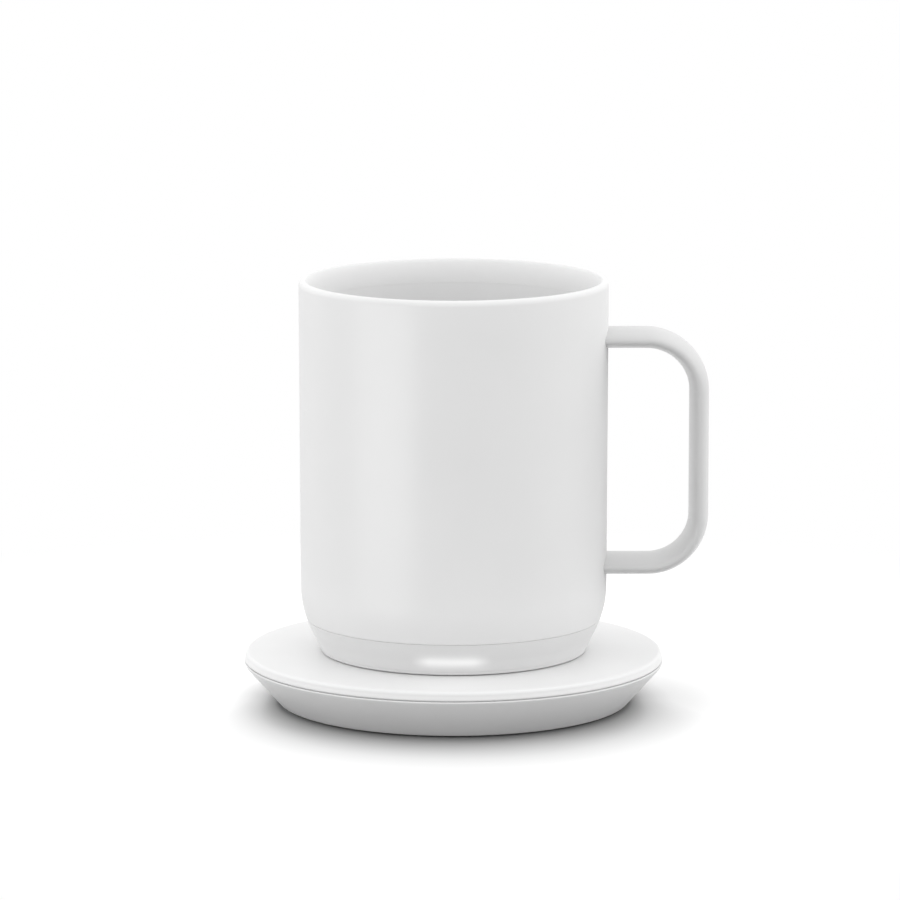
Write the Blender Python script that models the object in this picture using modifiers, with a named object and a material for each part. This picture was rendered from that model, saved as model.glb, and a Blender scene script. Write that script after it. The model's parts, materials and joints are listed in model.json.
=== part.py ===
"""A self heating mug standing on its charging coaster, as separate named pieces.

Metres, +Z up. The origin is the middle of the coaster's underside. The front is at -Y,
the handle at +X and the power inlet at +Y.
"""

import math

import bmesh
import bpy
from mathutils import Matrix, Vector

# Fits shared by all pieces
GAP = 0.0003
CUT_OVERRUN = 0.002
MERGE_DISTANCE = 0.000005

# Facets round a full turn
LARGE_STEPS = 48
MEDIUM_STEPS = 32
SMALL_STEPS = 16
ARC_STEPS = 4

# Coaster shell and cover
COASTER_RADIUS = 0.0545
COASTER_TAPER = 0.0090
COASTER_ROOM = 0.0071
COASTER_GROOVE = 0.00035
COASTER_LIP_BEVEL = 0.0003
COASTER_LIP_BAND = 0.0004
COASTER_WALL = 0.0023
COASTER_FLOOR = 0.0018
SKIRT_HEIGHT = 0.0025
SKIRT_SETBACK = 0.0001
SKIRT_DRAFT = 0.0003
SKIRT_WALL = 0.0019
TOP_PLATE = 0.0018
TOP_EDGE_ROUND = 0.0010

# Foot pad
PAD_INSET = 0.0020
PAD_THICKNESS = 0.0009
PAD_PROUD = 0.0003

# Coaster screws, their bosses and posts
COASTER_SCREW_COUNT = 3
COASTER_SCREW_START = math.radians(-90)
COASTER_SCREW_INSET = 0.0075
COASTER_HEAD_RADIUS = 0.0020
COASTER_HEAD_HEIGHT = 0.0012
COASTER_SHANK_RADIUS = 0.0009
COASTER_SCREW_BITE = 0.0039
COASTER_BOSS_RADIUS = 0.0032
COASTER_BOSS_HEIGHT = 0.0030
COASTER_POST_RADIUS = 0.0028

# Coaster board and what it carries
COASTER_BOARD_THICKNESS = 0.0010
COASTER_BOARD_WIDTH = 0.0300
COASTER_BOARD_FRONT = 0.0170
COASTER_BOARD_SETBACK = 0.0062
CONTROLLER_SIZE = (0.0070, 0.0070, 0.0012)
CONTROLLER_PLACE = (0.0, 0.0140)
CAPACITOR_RADIUS = 0.0025
CAPACITOR_HEIGHT = 0.0050
CAPACITOR_PLACE = (0.0090, 0.0220)
COIL_RADIUS = 0.0032
COIL_HEIGHT = 0.0030
COIL_PLACE = (-0.0085, 0.0220)

# Power inlet at the back of the coaster
JACK_WIDTH = 0.0064
JACK_HEIGHT = 0.0048
JACK_LENGTH = 0.0116
JACK_NOSE_RADIUS = 0.0023
JACK_NOSE_SINK = 0.0002
JACK_BORE_RADIUS = 0.00175
JACK_BORE_DEPTH = 0.0090
JACK_PIN_RADIUS = 0.00055
JACK_PIN_SINK = 0.0010
JACK_POCKET_RADIUS = 0.0034
JACK_POCKET_DEPTH = 0.0063
JACK_POCKET_WALL = 0.0013
JACK_BOSS_MARGIN = 0.0010

# Contact pins, their block and springs
PIN_RADIUS = 0.0009
PIN_TIP_BEVEL = 0.0004
PIN_FLANGE_RADIUS = 0.0015
PIN_FLANGE = 0.0008
PIN_BLOCK_MARGIN = 0.0034
PIN_BLOCK_WIDTH = 0.0070
COLLAR_RADIUS = 0.0019
COLLAR_SINK = 0.0001
SPRING_HEIGHT = 0.0036
SPRING_WIRE = 0.0003
SPRING_TURNS = 4
SPRING_POINTS_A_TURN = 10

# Contact rings under the mug
INNER_RING_RADIUS = 0.00725
OUTER_RING_RADIUS = 0.01225
RING_WIDTH = 0.0022
RING_THICKNESS = 0.0005
RING_RECESS = 0.0001
TERMINAL_RADIUS = 0.0006

# Mug outside
MUG_HEIGHT = 0.0967
MUG_RIM_RADIUS = 0.0400
MUG_TAPER = 0.00028
SHOULDER_HEIGHT = 0.0170
SHOULDER_ROUND = 0.0260
BASE_CONE_HEIGHT = 0.0037
BASE_INSET = 0.00507
BAND_CLEARANCE = 0.0003
BAND_EDGE_BEVEL = 0.0004
SEAM_HEIGHT = 0.0085

# Shell, rim and liner
SHELL_WALL = 0.0008
RIM_LIP = 0.0011
RIM_ROUND = 0.0007
RIM_BEAD = 0.0060
LINER_WALL = 0.0007
LINER_FLOOR = 0.0008
LINER_ROUND = 0.0060

# Handle and its studs
HANDLE_DEPTH = 0.0259
HANDLE_DROP = 0.01473
HANDLE_BOTTOM_HEIGHT = 0.02267
HANDLE_CORNER = 0.0134
STRAP_WIDTH = 0.0175
STRAP_THICKNESS = 0.0049
STRAP_ROUNDNESS = 4
HANDLE_CORNER_STEPS = 8
STUD_HEAD_RADIUS = 0.0022
STUD_HEAD_HEIGHT = 0.0006
STUD_HEAD_ROOM = 0.00012
STUD_RADIUS = 0.0012
STUD_BITE = 0.0080

# Base band, its ledge and shelf
BAND_WALL = 0.00135
LEDGE_WIDTH = 0.0019
LEDGE_THICKNESS = 0.0008
SHELF_INSET = 0.00482
SPIGOT_WALL = 0.0012
SPIGOT_HEIGHT = 0.0020

# Light window and emitters
WINDOW_LENGTH = 0.0218
WINDOW_HEIGHT = 0.0024
WINDOW_CENTRE_HEIGHT = 0.0037
WINDOW_SETBACK = 0.0001
EMITTER_SIZE = (0.0030, 0.0016, 0.0015)
EMITTER_SPREAD = 0.0060
EMITTER_SETBACK = 0.0008

# Base cover, seal and foot ring
FOOT_PROUD = 0.0006
BASE_COVER_THICKNESS = 0.0016
BASE_COVER_FLANGE = 0.0010
SEAL_THICKNESS = 0.0006
FOOT_RING_INSET = 0.0034
FOOT_RING_WIDTH = 0.0040
FOOT_RING_THICKNESS = 0.0010
FOOT_RING_BEVEL = 0.0003

# Base screws, their bosses and posts
BASE_SCREW_COUNT = 3
BASE_SCREW_START = math.radians(90)
BASE_HEAD_RADIUS = 0.0016
BASE_HEAD_HEIGHT = 0.0010
BASE_HEAD_SINK = 0.0001
BASE_SHANK_RADIUS = 0.0009
BASE_BOSS_RADIUS = 0.0026
SCREW_SOCKET_DEPTH = 0.0006
SCREW_SOCKET_SHARE = 0.5

# Power button and switch
BUTTON_RADIUS = 0.0042
BUTTON_RECESS = 0.0003
BUTTON_EDGE_BEVEL = 0.0002
BUTTON_FLANGE_WIDTH = 0.0012
BUTTON_FLANGE = 0.0006
BUTTON_TRAVEL = 0.0005
PLUNGER_RADIUS = 0.0009
PLUNGER_ENTRY = 0.0003
SWITCH_WIDTH = 0.0050
SWITCH_HEIGHT = 0.0015

# Main board and what it carries
BOARD_THICKNESS = 0.0010
COMPONENT_ROOM = 0.0003
PROCESSOR_SIZE = (0.0070, 0.0070, 0.0010)
PROCESSOR_PLACE = (-0.0120, 0.0100)
RADIO_SIZE = (0.0120, 0.0090, 0.0012)
RADIO_PLACE = (0.0130, 0.0120)
CHARGER_SIZE = (0.0050, 0.0050, 0.0009)
CHARGER_PLACE = (-0.0100, -0.0060)
POWER_COIL_SIZE = (0.0065, 0.0065, 0.0012)
POWER_COIL_PLACE = (0.0060, -0.0080)

# Batteries and their carrier
CARRIER_THICKNESS = 0.0012
CELL_RADIUS = 0.0065
CELL_LENGTH = 0.0450
CELL_SPACING = 0.0016
CELL_NUB_RADIUS = 0.0022
CELL_NUB_HEIGHT = 0.0007
CRADLE_WALL = 0.0012
CRADLE_HEIGHT = 0.0043
CARRIER_ROOF = 0.0005
LINK_LENGTH = 0.0220
LINK_HEIGHT = 0.0040
LINK_THICKNESS = 0.0003

# Heater stack
INSULATION_THICKNESS = 0.0015
HEATER_INSET = 0.0012
HEATER_THICKNESS = 0.0006
SENSOR_SIZE = (0.0024, 0.0018, 0.0007)
SENSOR_SPREAD = 0.0140

# Wires inside the mug
WIRE_RADIUS = 0.0004
WIRE_BEND = 0.0014
WIRE_BEND_STEPS = 3
HEATER_WIRE_SPREAD = 0.0025
HEATER_WIRE_REACH = 0.0030
CELL_WIRE_SHARE = 0.375

# Radii and reaches that follow
COASTER_FOOT_RADIUS = COASTER_RADIUS - COASTER_TAPER
SKIRT_RADIUS = COASTER_RADIUS - SKIRT_SETBACK
PAD_RADIUS = COASTER_FOOT_RADIUS - PAD_INSET
COASTER_SCREW_CIRCLE = PAD_RADIUS - COASTER_SCREW_INSET
JACK_POCKET_FLOOR = COASTER_RADIUS - JACK_POCKET_DEPTH
COASTER_BOARD_BACK = JACK_POCKET_FLOOR - COASTER_BOARD_SETBACK
MUG_WAIST_RADIUS = MUG_RIM_RADIUS - MUG_TAPER
BASE_RADIUS = MUG_WAIST_RADIUS - BASE_INSET
BAND_BORE_RADIUS = BASE_RADIUS - BAND_WALL
LEDGE_RADIUS = BAND_BORE_RADIUS - LEDGE_WIDTH
SHELF_RADIUS = MUG_WAIST_RADIUS - SHELF_INSET
WINDOW_INNER_RADIUS = BAND_BORE_RADIUS + WINDOW_SETBACK
EMITTER_FRONT = LEDGE_RADIUS - EMITTER_SETBACK
FOOT_RING_RADIUS = LEDGE_RADIUS - FOOT_RING_INSET
STUD_HEAD_RIM = MUG_WAIST_RADIUS - SHELL_WALL - GAP - STUD_HEAD_HEIGHT
LINER_RADIUS = STUD_HEAD_RIM - STUD_HEAD_ROOM - LINER_WALL
HANDLE_REACH = MUG_RIM_RADIUS + HANDLE_DEPTH
HANDLE_TOP_HEIGHT = MUG_HEIGHT - HANDLE_DROP
BUTTON_FLANGE_RADIUS = BUTTON_RADIUS + BUTTON_FLANGE_WIDTH
CELL_PITCH = 2 * CELL_RADIUS + CELL_SPACING
HEATER_RADIUS = LINER_RADIUS - LINER_ROUND - HEATER_INSET
HEATER_WIRE_DROP_RADIUS = HEATER_RADIUS + HEATER_WIRE_REACH
CELL_WIRE_ROOM = SHELF_RADIUS - WIRE_RADIUS - CELL_LENGTH / 2
CELL_WIRE_DROP = CELL_LENGTH / 2 + CELL_WIRE_ROOM * CELL_WIRE_SHARE

# Heights of the coaster's stack
PAD_SEAT_Z = PAD_THICKNESS + GAP
COASTER_FLOOR_Z = PAD_SEAT_Z + COASTER_FLOOR
COASTER_BOARD_Z = COASTER_FLOOR_Z + GAP
COASTER_BOARD_TOP_Z = COASTER_BOARD_Z + COASTER_BOARD_THICKNESS
COASTER_PART_Z = COASTER_BOARD_TOP_Z + GAP
PLATE_Z = COASTER_PART_Z + COASTER_ROOM
COASTER_HEIGHT = PLATE_Z + TOP_PLATE
COASTER_LIP_HEIGHT = COASTER_HEIGHT - SKIRT_HEIGHT
COASTER_BOSS_Z = COASTER_FLOOR_Z + COASTER_BOSS_HEIGHT
JACK_AXIS_Z = COASTER_PART_Z + JACK_HEIGHT / 2

# Heights of the mug's stack
MUG_Z = COASTER_HEIGHT + GAP
RIM_Z = MUG_Z + MUG_HEIGHT
SEAM_Z = MUG_Z + SEAM_HEIGHT
COVER_Z = MUG_Z + FOOT_PROUD
COVER_TOP_Z = COVER_Z + BASE_COVER_THICKNESS
COVER_FLANGE_Z = COVER_Z + BASE_COVER_FLANGE
SEAL_Z = COVER_FLANGE_Z + GAP
LEDGE_Z = SEAL_Z + SEAL_THICKNESS + GAP
LEDGE_TOP_Z = LEDGE_Z + LEDGE_THICKNESS
BUTTON_Z = COVER_Z + BUTTON_RECESS
BUTTON_FLANGE_Z = COVER_TOP_Z + GAP
BUTTON_TOP_Z = BUTTON_FLANGE_Z + BUTTON_FLANGE
SWITCH_Z = BUTTON_TOP_Z + BUTTON_TRAVEL + GAP
BOARD_Z = SWITCH_Z + SWITCH_HEIGHT + GAP
BOARD_TOP_Z = BOARD_Z + BOARD_THICKNESS
MUG_PART_Z = BOARD_TOP_Z + GAP
CARRIER_Z = MUG_PART_Z + RADIO_SIZE[2] + COMPONENT_ROOM
CARRIER_TOP_Z = CARRIER_Z + CARRIER_THICKNESS
CELL_Z = CARRIER_TOP_Z + GAP + CELL_RADIUS
CRADLE_TOP_Z = CARRIER_TOP_Z + CRADLE_HEIGHT
INSULATION_Z = CELL_Z + CELL_RADIUS + GAP
INSULATION_TOP_Z = INSULATION_Z + INSULATION_THICKNESS
HEATER_Z = INSULATION_TOP_Z + GAP
LINER_Z = HEATER_Z + HEATER_THICKNESS + GAP
LINER_FLOOR_Z = LINER_Z + LINER_FLOOR
BEAD_Z = RIM_Z - RIM_BEAD
RING_Z = COVER_Z + RING_RECESS
RING_TOP_Z = RING_Z + RING_THICKNESS
PIN_TIP_Z = RING_Z - GAP
FOOT_GROOVE_Z = MUG_Z + FOOT_RING_THICKNESS + GAP
BASE_HEAD_Z = FOOT_GROOVE_Z + BASE_HEAD_SINK
BASE_HEAD_TOP_Z = BASE_HEAD_Z + BASE_HEAD_HEIGHT


# Collections and materials

def new_collection(name):
    collection = bpy.data.collections.new(name)
    bpy.context.scene.collection.children.link(collection)
    return collection


def new_material(name, colour, roughness, metallic=0.0):
    material = bpy.data.materials.new(name)
    material.use_nodes = True
    material.diffuse_color = (*colour, 1.0)
    shader = material.node_tree.nodes["Principled BSDF"]
    shader.inputs["Base Color"].default_value = (*colour, 1.0)
    shader.inputs["Roughness"].default_value = roughness
    shader.inputs["Metallic"].default_value = metallic
    return material


for leftover in list(bpy.data.objects):
    bpy.data.objects.remove(leftover, do_unlink=True)

PIECES = new_collection("self_heating_mug")
CUTTERS = new_collection("cutters")

COATING = new_material("coating", (0.78, 0.78, 0.78), 0.42)
HANDLE_COATING = new_material("handle_coating", (0.76, 0.76, 0.76), 0.45)
BAND_PLASTIC = new_material("band_plastic", (0.76, 0.76, 0.76), 0.40)
COASTER_PLASTIC = new_material("coaster_plastic", (0.77, 0.77, 0.77), 0.38)
COASTER_SHELL_PLASTIC = new_material("coaster_shell_plastic", (0.72, 0.72, 0.72), 0.42)
WINDOW_PLASTIC = new_material("window_plastic", (0.90, 0.90, 0.90), 0.30)
SOFT_RUBBER = new_material("soft_rubber", (0.42, 0.42, 0.43), 0.80)
SEAL_RUBBER = new_material("seal_rubber", (0.06, 0.06, 0.06), 0.75)
BUTTON_PLASTIC = new_material("button_plastic", (0.70, 0.70, 0.70), 0.45)
GOLD_PLATE = new_material("gold_plate", (0.83, 0.62, 0.28), 0.28, 1.0)
STEEL = new_material("steel", (0.56, 0.57, 0.58), 0.32, 1.0)
NICKEL = new_material("nickel", (0.66, 0.64, 0.60), 0.30, 1.0)
BLACK_PLASTIC = new_material("black_plastic", (0.03, 0.03, 0.03), 0.45)
BOARD_LAMINATE = new_material("board_laminate", (0.02, 0.16, 0.07), 0.45)
CHIP_PLASTIC = new_material("chip_plastic", (0.04, 0.04, 0.045), 0.50)
EMITTER_PLASTIC = new_material("emitter_plastic", (0.85, 0.80, 0.55), 0.35)
CARRIER_PLASTIC = new_material("carrier_plastic", (0.10, 0.10, 0.11), 0.55)
CELL_WRAP = new_material("cell_wrap", (0.05, 0.22, 0.42), 0.40)
INSULATION_FOAM = new_material("insulation_foam", (0.80, 0.78, 0.72), 0.90)
HEATER_FILM = new_material("heater_film", (0.72, 0.35, 0.08), 0.40)
RED_WIRE = new_material("red_wire", (0.60, 0.03, 0.03), 0.50)
BLACK_WIRE = new_material("black_wire", (0.02, 0.02, 0.02), 0.50)


# Shapes

def place_object(name, data, material, location=(0, 0, 0), rotation=(0, 0, 0)):
    """A piece where a material is given, and a hidden cutter where none is."""
    item = bpy.data.objects.new(name, data)
    item.location = location
    item.rotation_euler = rotation
    if material is None:
        CUTTERS.objects.link(item)
        item.hide_render = True
        item.display_type = "WIRE"
    else:
        PIECES.objects.link(item)
        data.materials.append(material)
    return item


def turned(
    name, outline, material=None, steps=LARGE_STEPS, ring=False, location=(0, 0, 0), rotation=(0, 0, 0)
):
    """A profile of (radius, height) points, down its outer side, turned about Z."""
    mesh = bpy.data.meshes.new(name)
    corners = [(radius, 0, height) for radius, height in outline]
    edges = [(i, i + 1) for i in range(len(corners) - 1)]
    if ring:
        edges.append((len(corners) - 1, 0))
    mesh.from_pydata(corners, edges, [])
    item = place_object(name, mesh, material, location, rotation)
    screw = item.modifiers.new("turn", "SCREW")
    screw.axis = "Z"
    screw.angle = math.tau
    screw.steps = steps
    screw.render_steps = steps
    screw.use_merge_vertices = True
    screw.merge_threshold = MERGE_DISTANCE
    screw.use_smooth_shade = False
    return item


def cylinder(name, radius, low, high, material=None, place=(0, 0), steps=SMALL_STEPS):
    """An upright cylinder between two heights."""
    mesh = bpy.data.meshes.new(name)
    shape = bmesh.new()
    bmesh.ops.create_cone(
        shape, cap_ends=True, segments=steps, radius1=radius, radius2=radius, depth=high - low
    )
    shape.to_mesh(mesh)
    shape.free()
    return place_object(name, mesh, material, (place[0], place[1], (low + high) / 2))


def lying_cylinder(name, radius, start, end, material=None, steps=SMALL_STEPS):
    """A cylinder between two points that share all but one coordinate."""
    start, end = Vector(start), Vector(end)
    mesh = bpy.data.meshes.new(name)
    shape = bmesh.new()
    bmesh.ops.create_cone(
        shape, cap_ends=True, segments=steps, radius1=radius, radius2=radius, depth=(end - start).length
    )
    shape.to_mesh(mesh)
    shape.free()
    turn = (end - start).to_track_quat("Z", "Y").to_euler()
    return place_object(name, mesh, material, (start + end) / 2, turn)


def box(name, low, high, material=None):
    """A block between two opposite corners."""
    low, high = Vector(low), Vector(high)
    mesh = bpy.data.meshes.new(name)
    shape = bmesh.new()
    bmesh.ops.create_cube(shape, size=1.0)
    bmesh.ops.scale(shape, vec=high - low, verts=shape.verts)
    shape.to_mesh(mesh)
    shape.free()
    return place_object(name, mesh, material, (low + high) / 2)


def standing_box(name, size, place, low, material):
    """A block of a given size on a floor height, centred on a place."""
    half_x, half_y = size[0] / 2, size[1] / 2
    return box(
        name,
        (place[0] - half_x, place[1] - half_y, low),
        (place[0] + half_x, place[1] + half_y, low + size[2]),
        material,
    )


def combine(target, tool, operation):
    modifier = target.modifiers.new(operation.lower(), "BOOLEAN")
    modifier.operation = operation
    modifier.solver = "EXACT"
    modifier.object = tool
    return target


def cut(target, *tools):
    for tool in tools:
        combine(target, tool, "DIFFERENCE")


def join(target, *tools):
    for tool in tools:
        combine(target, tool, "UNION")


def curve_mesh(name, curve, material, rotation=(0, 0, 0), location=(0, 0, 0)):
    """A mesh object made from a curve, with its caps welded on."""
    guide = bpy.data.objects.new(name + "_guide", curve)
    guide.location = location
    guide.rotation_euler = rotation
    bpy.context.scene.collection.objects.link(guide)
    bpy.context.view_layer.update()
    mesh = bpy.data.meshes.new_from_object(guide.evaluated_get(bpy.context.evaluated_depsgraph_get()))
    mesh.materials.clear()
    shape = bmesh.new()
    shape.from_mesh(mesh)
    bmesh.ops.remove_doubles(shape, verts=shape.verts, dist=MERGE_DISTANCE)
    bmesh.ops.recalc_face_normals(shape, faces=shape.faces)
    shape.to_mesh(mesh)
    shape.free()
    matrix = guide.matrix_world.copy()
    bpy.data.objects.remove(guide, do_unlink=True)
    item = place_object(name, mesh, material)
    item.matrix_world = matrix
    return item


def poly_spline(curve, points, cyclic=False):
    spline = curve.splines.new("POLY")
    spline.points.add(len(points) - 1)
    for target, point in zip(spline.points, points):
        target.co = (*point, 1.0)
    spline.use_cyclic_u = cyclic
    return spline


def tube(name, points, radius, material, roundness=1):
    """A round wire along a line of points."""
    curve = bpy.data.curves.new(name, "CURVE")
    curve.dimensions = "3D"
    curve.bevel_depth = radius
    curve.bevel_resolution = roundness
    curve.use_fill_caps = True
    poly_spline(curve, points)
    return curve_mesh(name, curve, material)


def flat_plate(name, outline, thickness, material=None, location=(0, 0, 0), rotation=(0, 0, 0)):
    """A flat outline given as (x, y) points, extruded both ways from its plane."""
    curve = bpy.data.curves.new(name, "CURVE")
    curve.dimensions = "2D"
    curve.fill_mode = "BOTH"
    curve.extrude = thickness / 2
    poly_spline(curve, [(x, y, 0) for x, y in outline], cyclic=True)
    return curve_mesh(name, curve, material, rotation, location)


def arc_points(centre, radii, start, end, steps):
    """Points of an elliptical arc between two angles, as (x, y)."""
    points = []
    for i in range(steps + 1):
        angle = start + (end - start) * i / steps
        points.append((centre[0] + radii[0] * math.cos(angle), centre[1] + radii[1] * math.sin(angle)))
    return points


def filleted(points, radius, steps):
    """A line of points with each inner corner replaced by an arc."""
    route = [Vector(points[0])]
    for before, corner, after in zip(points, points[1:], points[2:]):
        before, corner, after = Vector(before), Vector(corner), Vector(after)
        back, ahead = (before - corner).normalized(), (after - corner).normalized()
        half_angle = back.angle(ahead) / 2
        reach = radius / math.tan(half_angle)
        centre = corner + (back + ahead).normalized() * radius / math.sin(half_angle)
        first = (corner + back * reach - centre).normalized()
        last = (corner + ahead * reach - centre).normalized()
        for i in range(steps + 1):
            route.append(centre + first.slerp(last, i / steps) * radius)
    route.append(Vector(points[-1]))
    return route


def on_circle(radius, start, count):
    """Evenly spread (x, y) places on a circle."""
    return [
        (radius * math.cos(start + math.tau * i / count), radius * math.sin(start + math.tau * i / count))
        for i in range(count)
    ]


def stadium(length, height, steps):
    """A bar with round ends, lying along X."""
    reach, radius = (length - height) / 2, height / 2
    right = arc_points((reach, 0), (radius, radius), -math.pi / 2, math.pi / 2, steps)
    left = arc_points((-reach, 0), (radius, radius), math.pi / 2, 3 * math.pi / 2, steps)
    return right + left


# Outlines that several pieces share

def cone_radius(height):
    """Outer radius of the coaster's tapering wall."""
    top = COASTER_LIP_HEIGHT - COASTER_LIP_BEVEL - COASTER_LIP_BAND
    share = (height - PAD_PROUD) / (top - PAD_PROUD)
    return COASTER_FOOT_RADIUS + (COASTER_RADIUS - COASTER_FOOT_RADIUS) * share


def shoulder_radius(rise):
    """Radius of the shoulder's arc at a height over the mug's base."""
    drop = SHOULDER_HEIGHT - rise
    return MUG_WAIST_RADIUS - SHOULDER_ROUND + math.sqrt(SHOULDER_ROUND**2 - drop**2)


def mug_radius(height):
    """Outer radius of the mug at a height over the table."""
    rise = height - MUG_Z
    if rise >= SHOULDER_HEIGHT:
        share = (rise - SHOULDER_HEIGHT) / (MUG_HEIGHT - SHOULDER_HEIGHT)
        return MUG_WAIST_RADIUS + (MUG_RIM_RADIUS - MUG_WAIST_RADIUS) * share
    if rise >= BASE_CONE_HEIGHT:
        return shoulder_radius(rise)
    share = (rise - BAND_CLEARANCE) / (BASE_CONE_HEIGHT - BAND_CLEARANCE)
    return BASE_RADIUS + (shoulder_radius(BASE_CONE_HEIGHT) - BASE_RADIUS) * share


def side_points(top, bottom, offset, steps):
    """The mug's outer side from one height down to another, moved outwards by an offset."""
    heights = [top - (top - bottom) * i / steps for i in range(steps + 1)]
    return [(mug_radius(height) + offset, height) for height in heights]


def shell_side(top, offset):
    """The coated shell's side, from a height above the shoulder down to the seam."""
    shoulder = MUG_Z + SHOULDER_HEIGHT
    bottom = SEAM_Z + GAP / 2
    return [(mug_radius(top) + offset, top)] + side_points(shoulder, bottom, offset, ARC_STEPS + 2)


def band_side(offset):
    """The base band's side, from the seam down to its lower edge."""
    cone_top = MUG_Z + BASE_CONE_HEIGHT
    bevel_top = MUG_Z + BAND_CLEARANCE + BAND_EDGE_BEVEL
    arc = side_points(SEAM_Z - GAP / 2, cone_top, offset, ARC_STEPS)
    return arc + [(mug_radius(bevel_top) + offset, bevel_top)]


# Coaster

def screw_piece(name, place, head_low, head_radius, head_height, shank_radius, tip, material):
    """A screw driven upwards, with a six sided socket in its head."""
    outline = [
        (0, tip),
        (shank_radius, tip),
        (shank_radius, head_low + head_height),
        (head_radius, head_low + head_height),
        (head_radius, head_low),
        (0, head_low),
    ]
    item = turned(name, outline, material, SMALL_STEPS, location=(*place, 0))
    socket_radius = head_radius * SCREW_SOCKET_SHARE
    socket = cylinder(
        name + "_socket", socket_radius, head_low - CUT_OVERRUN, head_low + SCREW_SOCKET_DEPTH,
        place=place, steps=6,
    )
    cut(item, socket)
    return item


def coaster_screw_places():
    return on_circle(COASTER_SCREW_CIRCLE, COASTER_SCREW_START, COASTER_SCREW_COUNT)


def coaster_cavity():
    """The hollow of the lower shell, less the bosses and the thick wall at the inlet."""
    wall_top = COASTER_LIP_HEIGHT - COASTER_LIP_BEVEL - COASTER_LIP_BAND
    rim_radius = COASTER_RADIUS - COASTER_WALL
    outline = [
        (0, COASTER_LIP_HEIGHT + CUT_OVERRUN),
        (rim_radius, COASTER_LIP_HEIGHT + CUT_OVERRUN),
        (rim_radius, wall_top),
        (cone_radius(COASTER_FLOOR_Z) - COASTER_WALL, COASTER_FLOOR_Z),
        (0, COASTER_FLOOR_Z),
    ]
    cavity = turned("lower_shell_cavity", outline)
    for i, place in enumerate(coaster_screw_places(), 1):
        boss = cylinder(
            f"lower_shell_boss_{i}", COASTER_BOSS_RADIUS, COASTER_FLOOR_Z - CUT_OVERRUN, COASTER_BOSS_Z,
            place=place,
        )
        cut(cavity, boss)
    half = JACK_POCKET_RADIUS + JACK_BOSS_MARGIN
    thick_wall = box(
        "inlet_wall",
        (-half, JACK_POCKET_FLOOR - JACK_POCKET_WALL, COASTER_FLOOR_Z - CUT_OVERRUN),
        (half, COASTER_RADIUS + CUT_OVERRUN, COASTER_HEIGHT + CUT_OVERRUN),
    )
    cut(cavity, thick_wall)
    return cavity


def build_lower_shell():
    outline = [
        (0, COASTER_LIP_HEIGHT),
        (COASTER_RADIUS - COASTER_LIP_BEVEL, COASTER_LIP_HEIGHT),
        (COASTER_RADIUS, COASTER_LIP_HEIGHT - COASTER_LIP_BEVEL),
        (COASTER_RADIUS, COASTER_LIP_HEIGHT - COASTER_LIP_BEVEL - COASTER_LIP_BAND),
        (COASTER_FOOT_RADIUS, PAD_PROUD),
        (0, PAD_PROUD),
    ]
    shell = turned("coaster_lower_shell", outline, COASTER_SHELL_PLASTIC)
    recess = cylinder(
        "pad_recess", PAD_RADIUS + GAP, PAD_PROUD - CUT_OVERRUN, PAD_SEAT_Z, steps=LARGE_STEPS
    )
    cut(shell, coaster_cavity(), recess)
    pocket_top = PAD_SEAT_Z + COASTER_HEAD_HEIGHT + 2 * GAP
    for i, place in enumerate(coaster_screw_places(), 1):
        head_pocket = cylinder(
            f"case_head_pocket_{i}", COASTER_HEAD_RADIUS + GAP, PAD_SEAT_Z - CUT_OVERRUN, pocket_top,
            place=place,
        )
        shank_hole = cylinder(
            f"case_shank_hole_{i}", COASTER_SHANK_RADIUS + GAP, 0, COASTER_BOSS_Z + CUT_OVERRUN,
            place=place,
        )
        cut(shell, head_pocket, shank_hole)
    outside = COASTER_RADIUS + CUT_OVERRUN
    pocket = lying_cylinder(
        "inlet_pocket", JACK_POCKET_RADIUS, (0, JACK_POCKET_FLOOR, JACK_AXIS_Z), (0, outside, JACK_AXIS_Z),
        steps=MEDIUM_STEPS,
    )
    hole_start = JACK_POCKET_FLOOR - JACK_POCKET_WALL - CUT_OVERRUN
    hole = lying_cylinder(
        "inlet_hole", JACK_NOSE_RADIUS + GAP, (0, hole_start, JACK_AXIS_Z), (0, outside, JACK_AXIS_Z),
        steps=MEDIUM_STEPS,
    )
    cut(shell, pocket, hole)


def build_top_cover():
    top_radius = SKIRT_RADIUS - SKIRT_DRAFT
    edge = arc_points(
        (top_radius - TOP_EDGE_ROUND, COASTER_HEIGHT - TOP_EDGE_ROUND),
        (TOP_EDGE_ROUND, TOP_EDGE_ROUND), math.pi / 2, 0, ARC_STEPS,
    )
    skirt_z = COASTER_LIP_HEIGHT + COASTER_GROOVE
    outline = [(0, COASTER_HEIGHT)] + edge + [
        (SKIRT_RADIUS, skirt_z),
        (SKIRT_RADIUS - SKIRT_WALL, skirt_z),
        (SKIRT_RADIUS - SKIRT_WALL, PLATE_Z),
        (0, PLATE_Z),
    ]
    cover = turned("coaster_top_cover", outline, COASTER_PLASTIC)
    post_z = COASTER_BOSS_Z + GAP
    for i, place in enumerate(coaster_screw_places(), 1):
        post = cylinder(
            f"cover_post_{i}", COASTER_POST_RADIUS, post_z, PLATE_Z + TOP_PLATE / 2, place=place
        )
        pilot = cylinder(
            f"cover_pilot_{i}", COASTER_SHANK_RADIUS + GAP, post_z - CUT_OVERRUN,
            post_z + COASTER_SCREW_BITE + 2 * GAP, place=place,
        )
        join(cover, post)
        cut(cover, pilot)
    for name, place in pin_places().items():
        hole = cylinder(
            f"cover_hole_{name}", COLLAR_RADIUS + GAP, PLATE_Z - CUT_OVERRUN, COASTER_HEIGHT + CUT_OVERRUN,
            place=place, steps=MEDIUM_STEPS,
        )
        cut(cover, hole)


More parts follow.
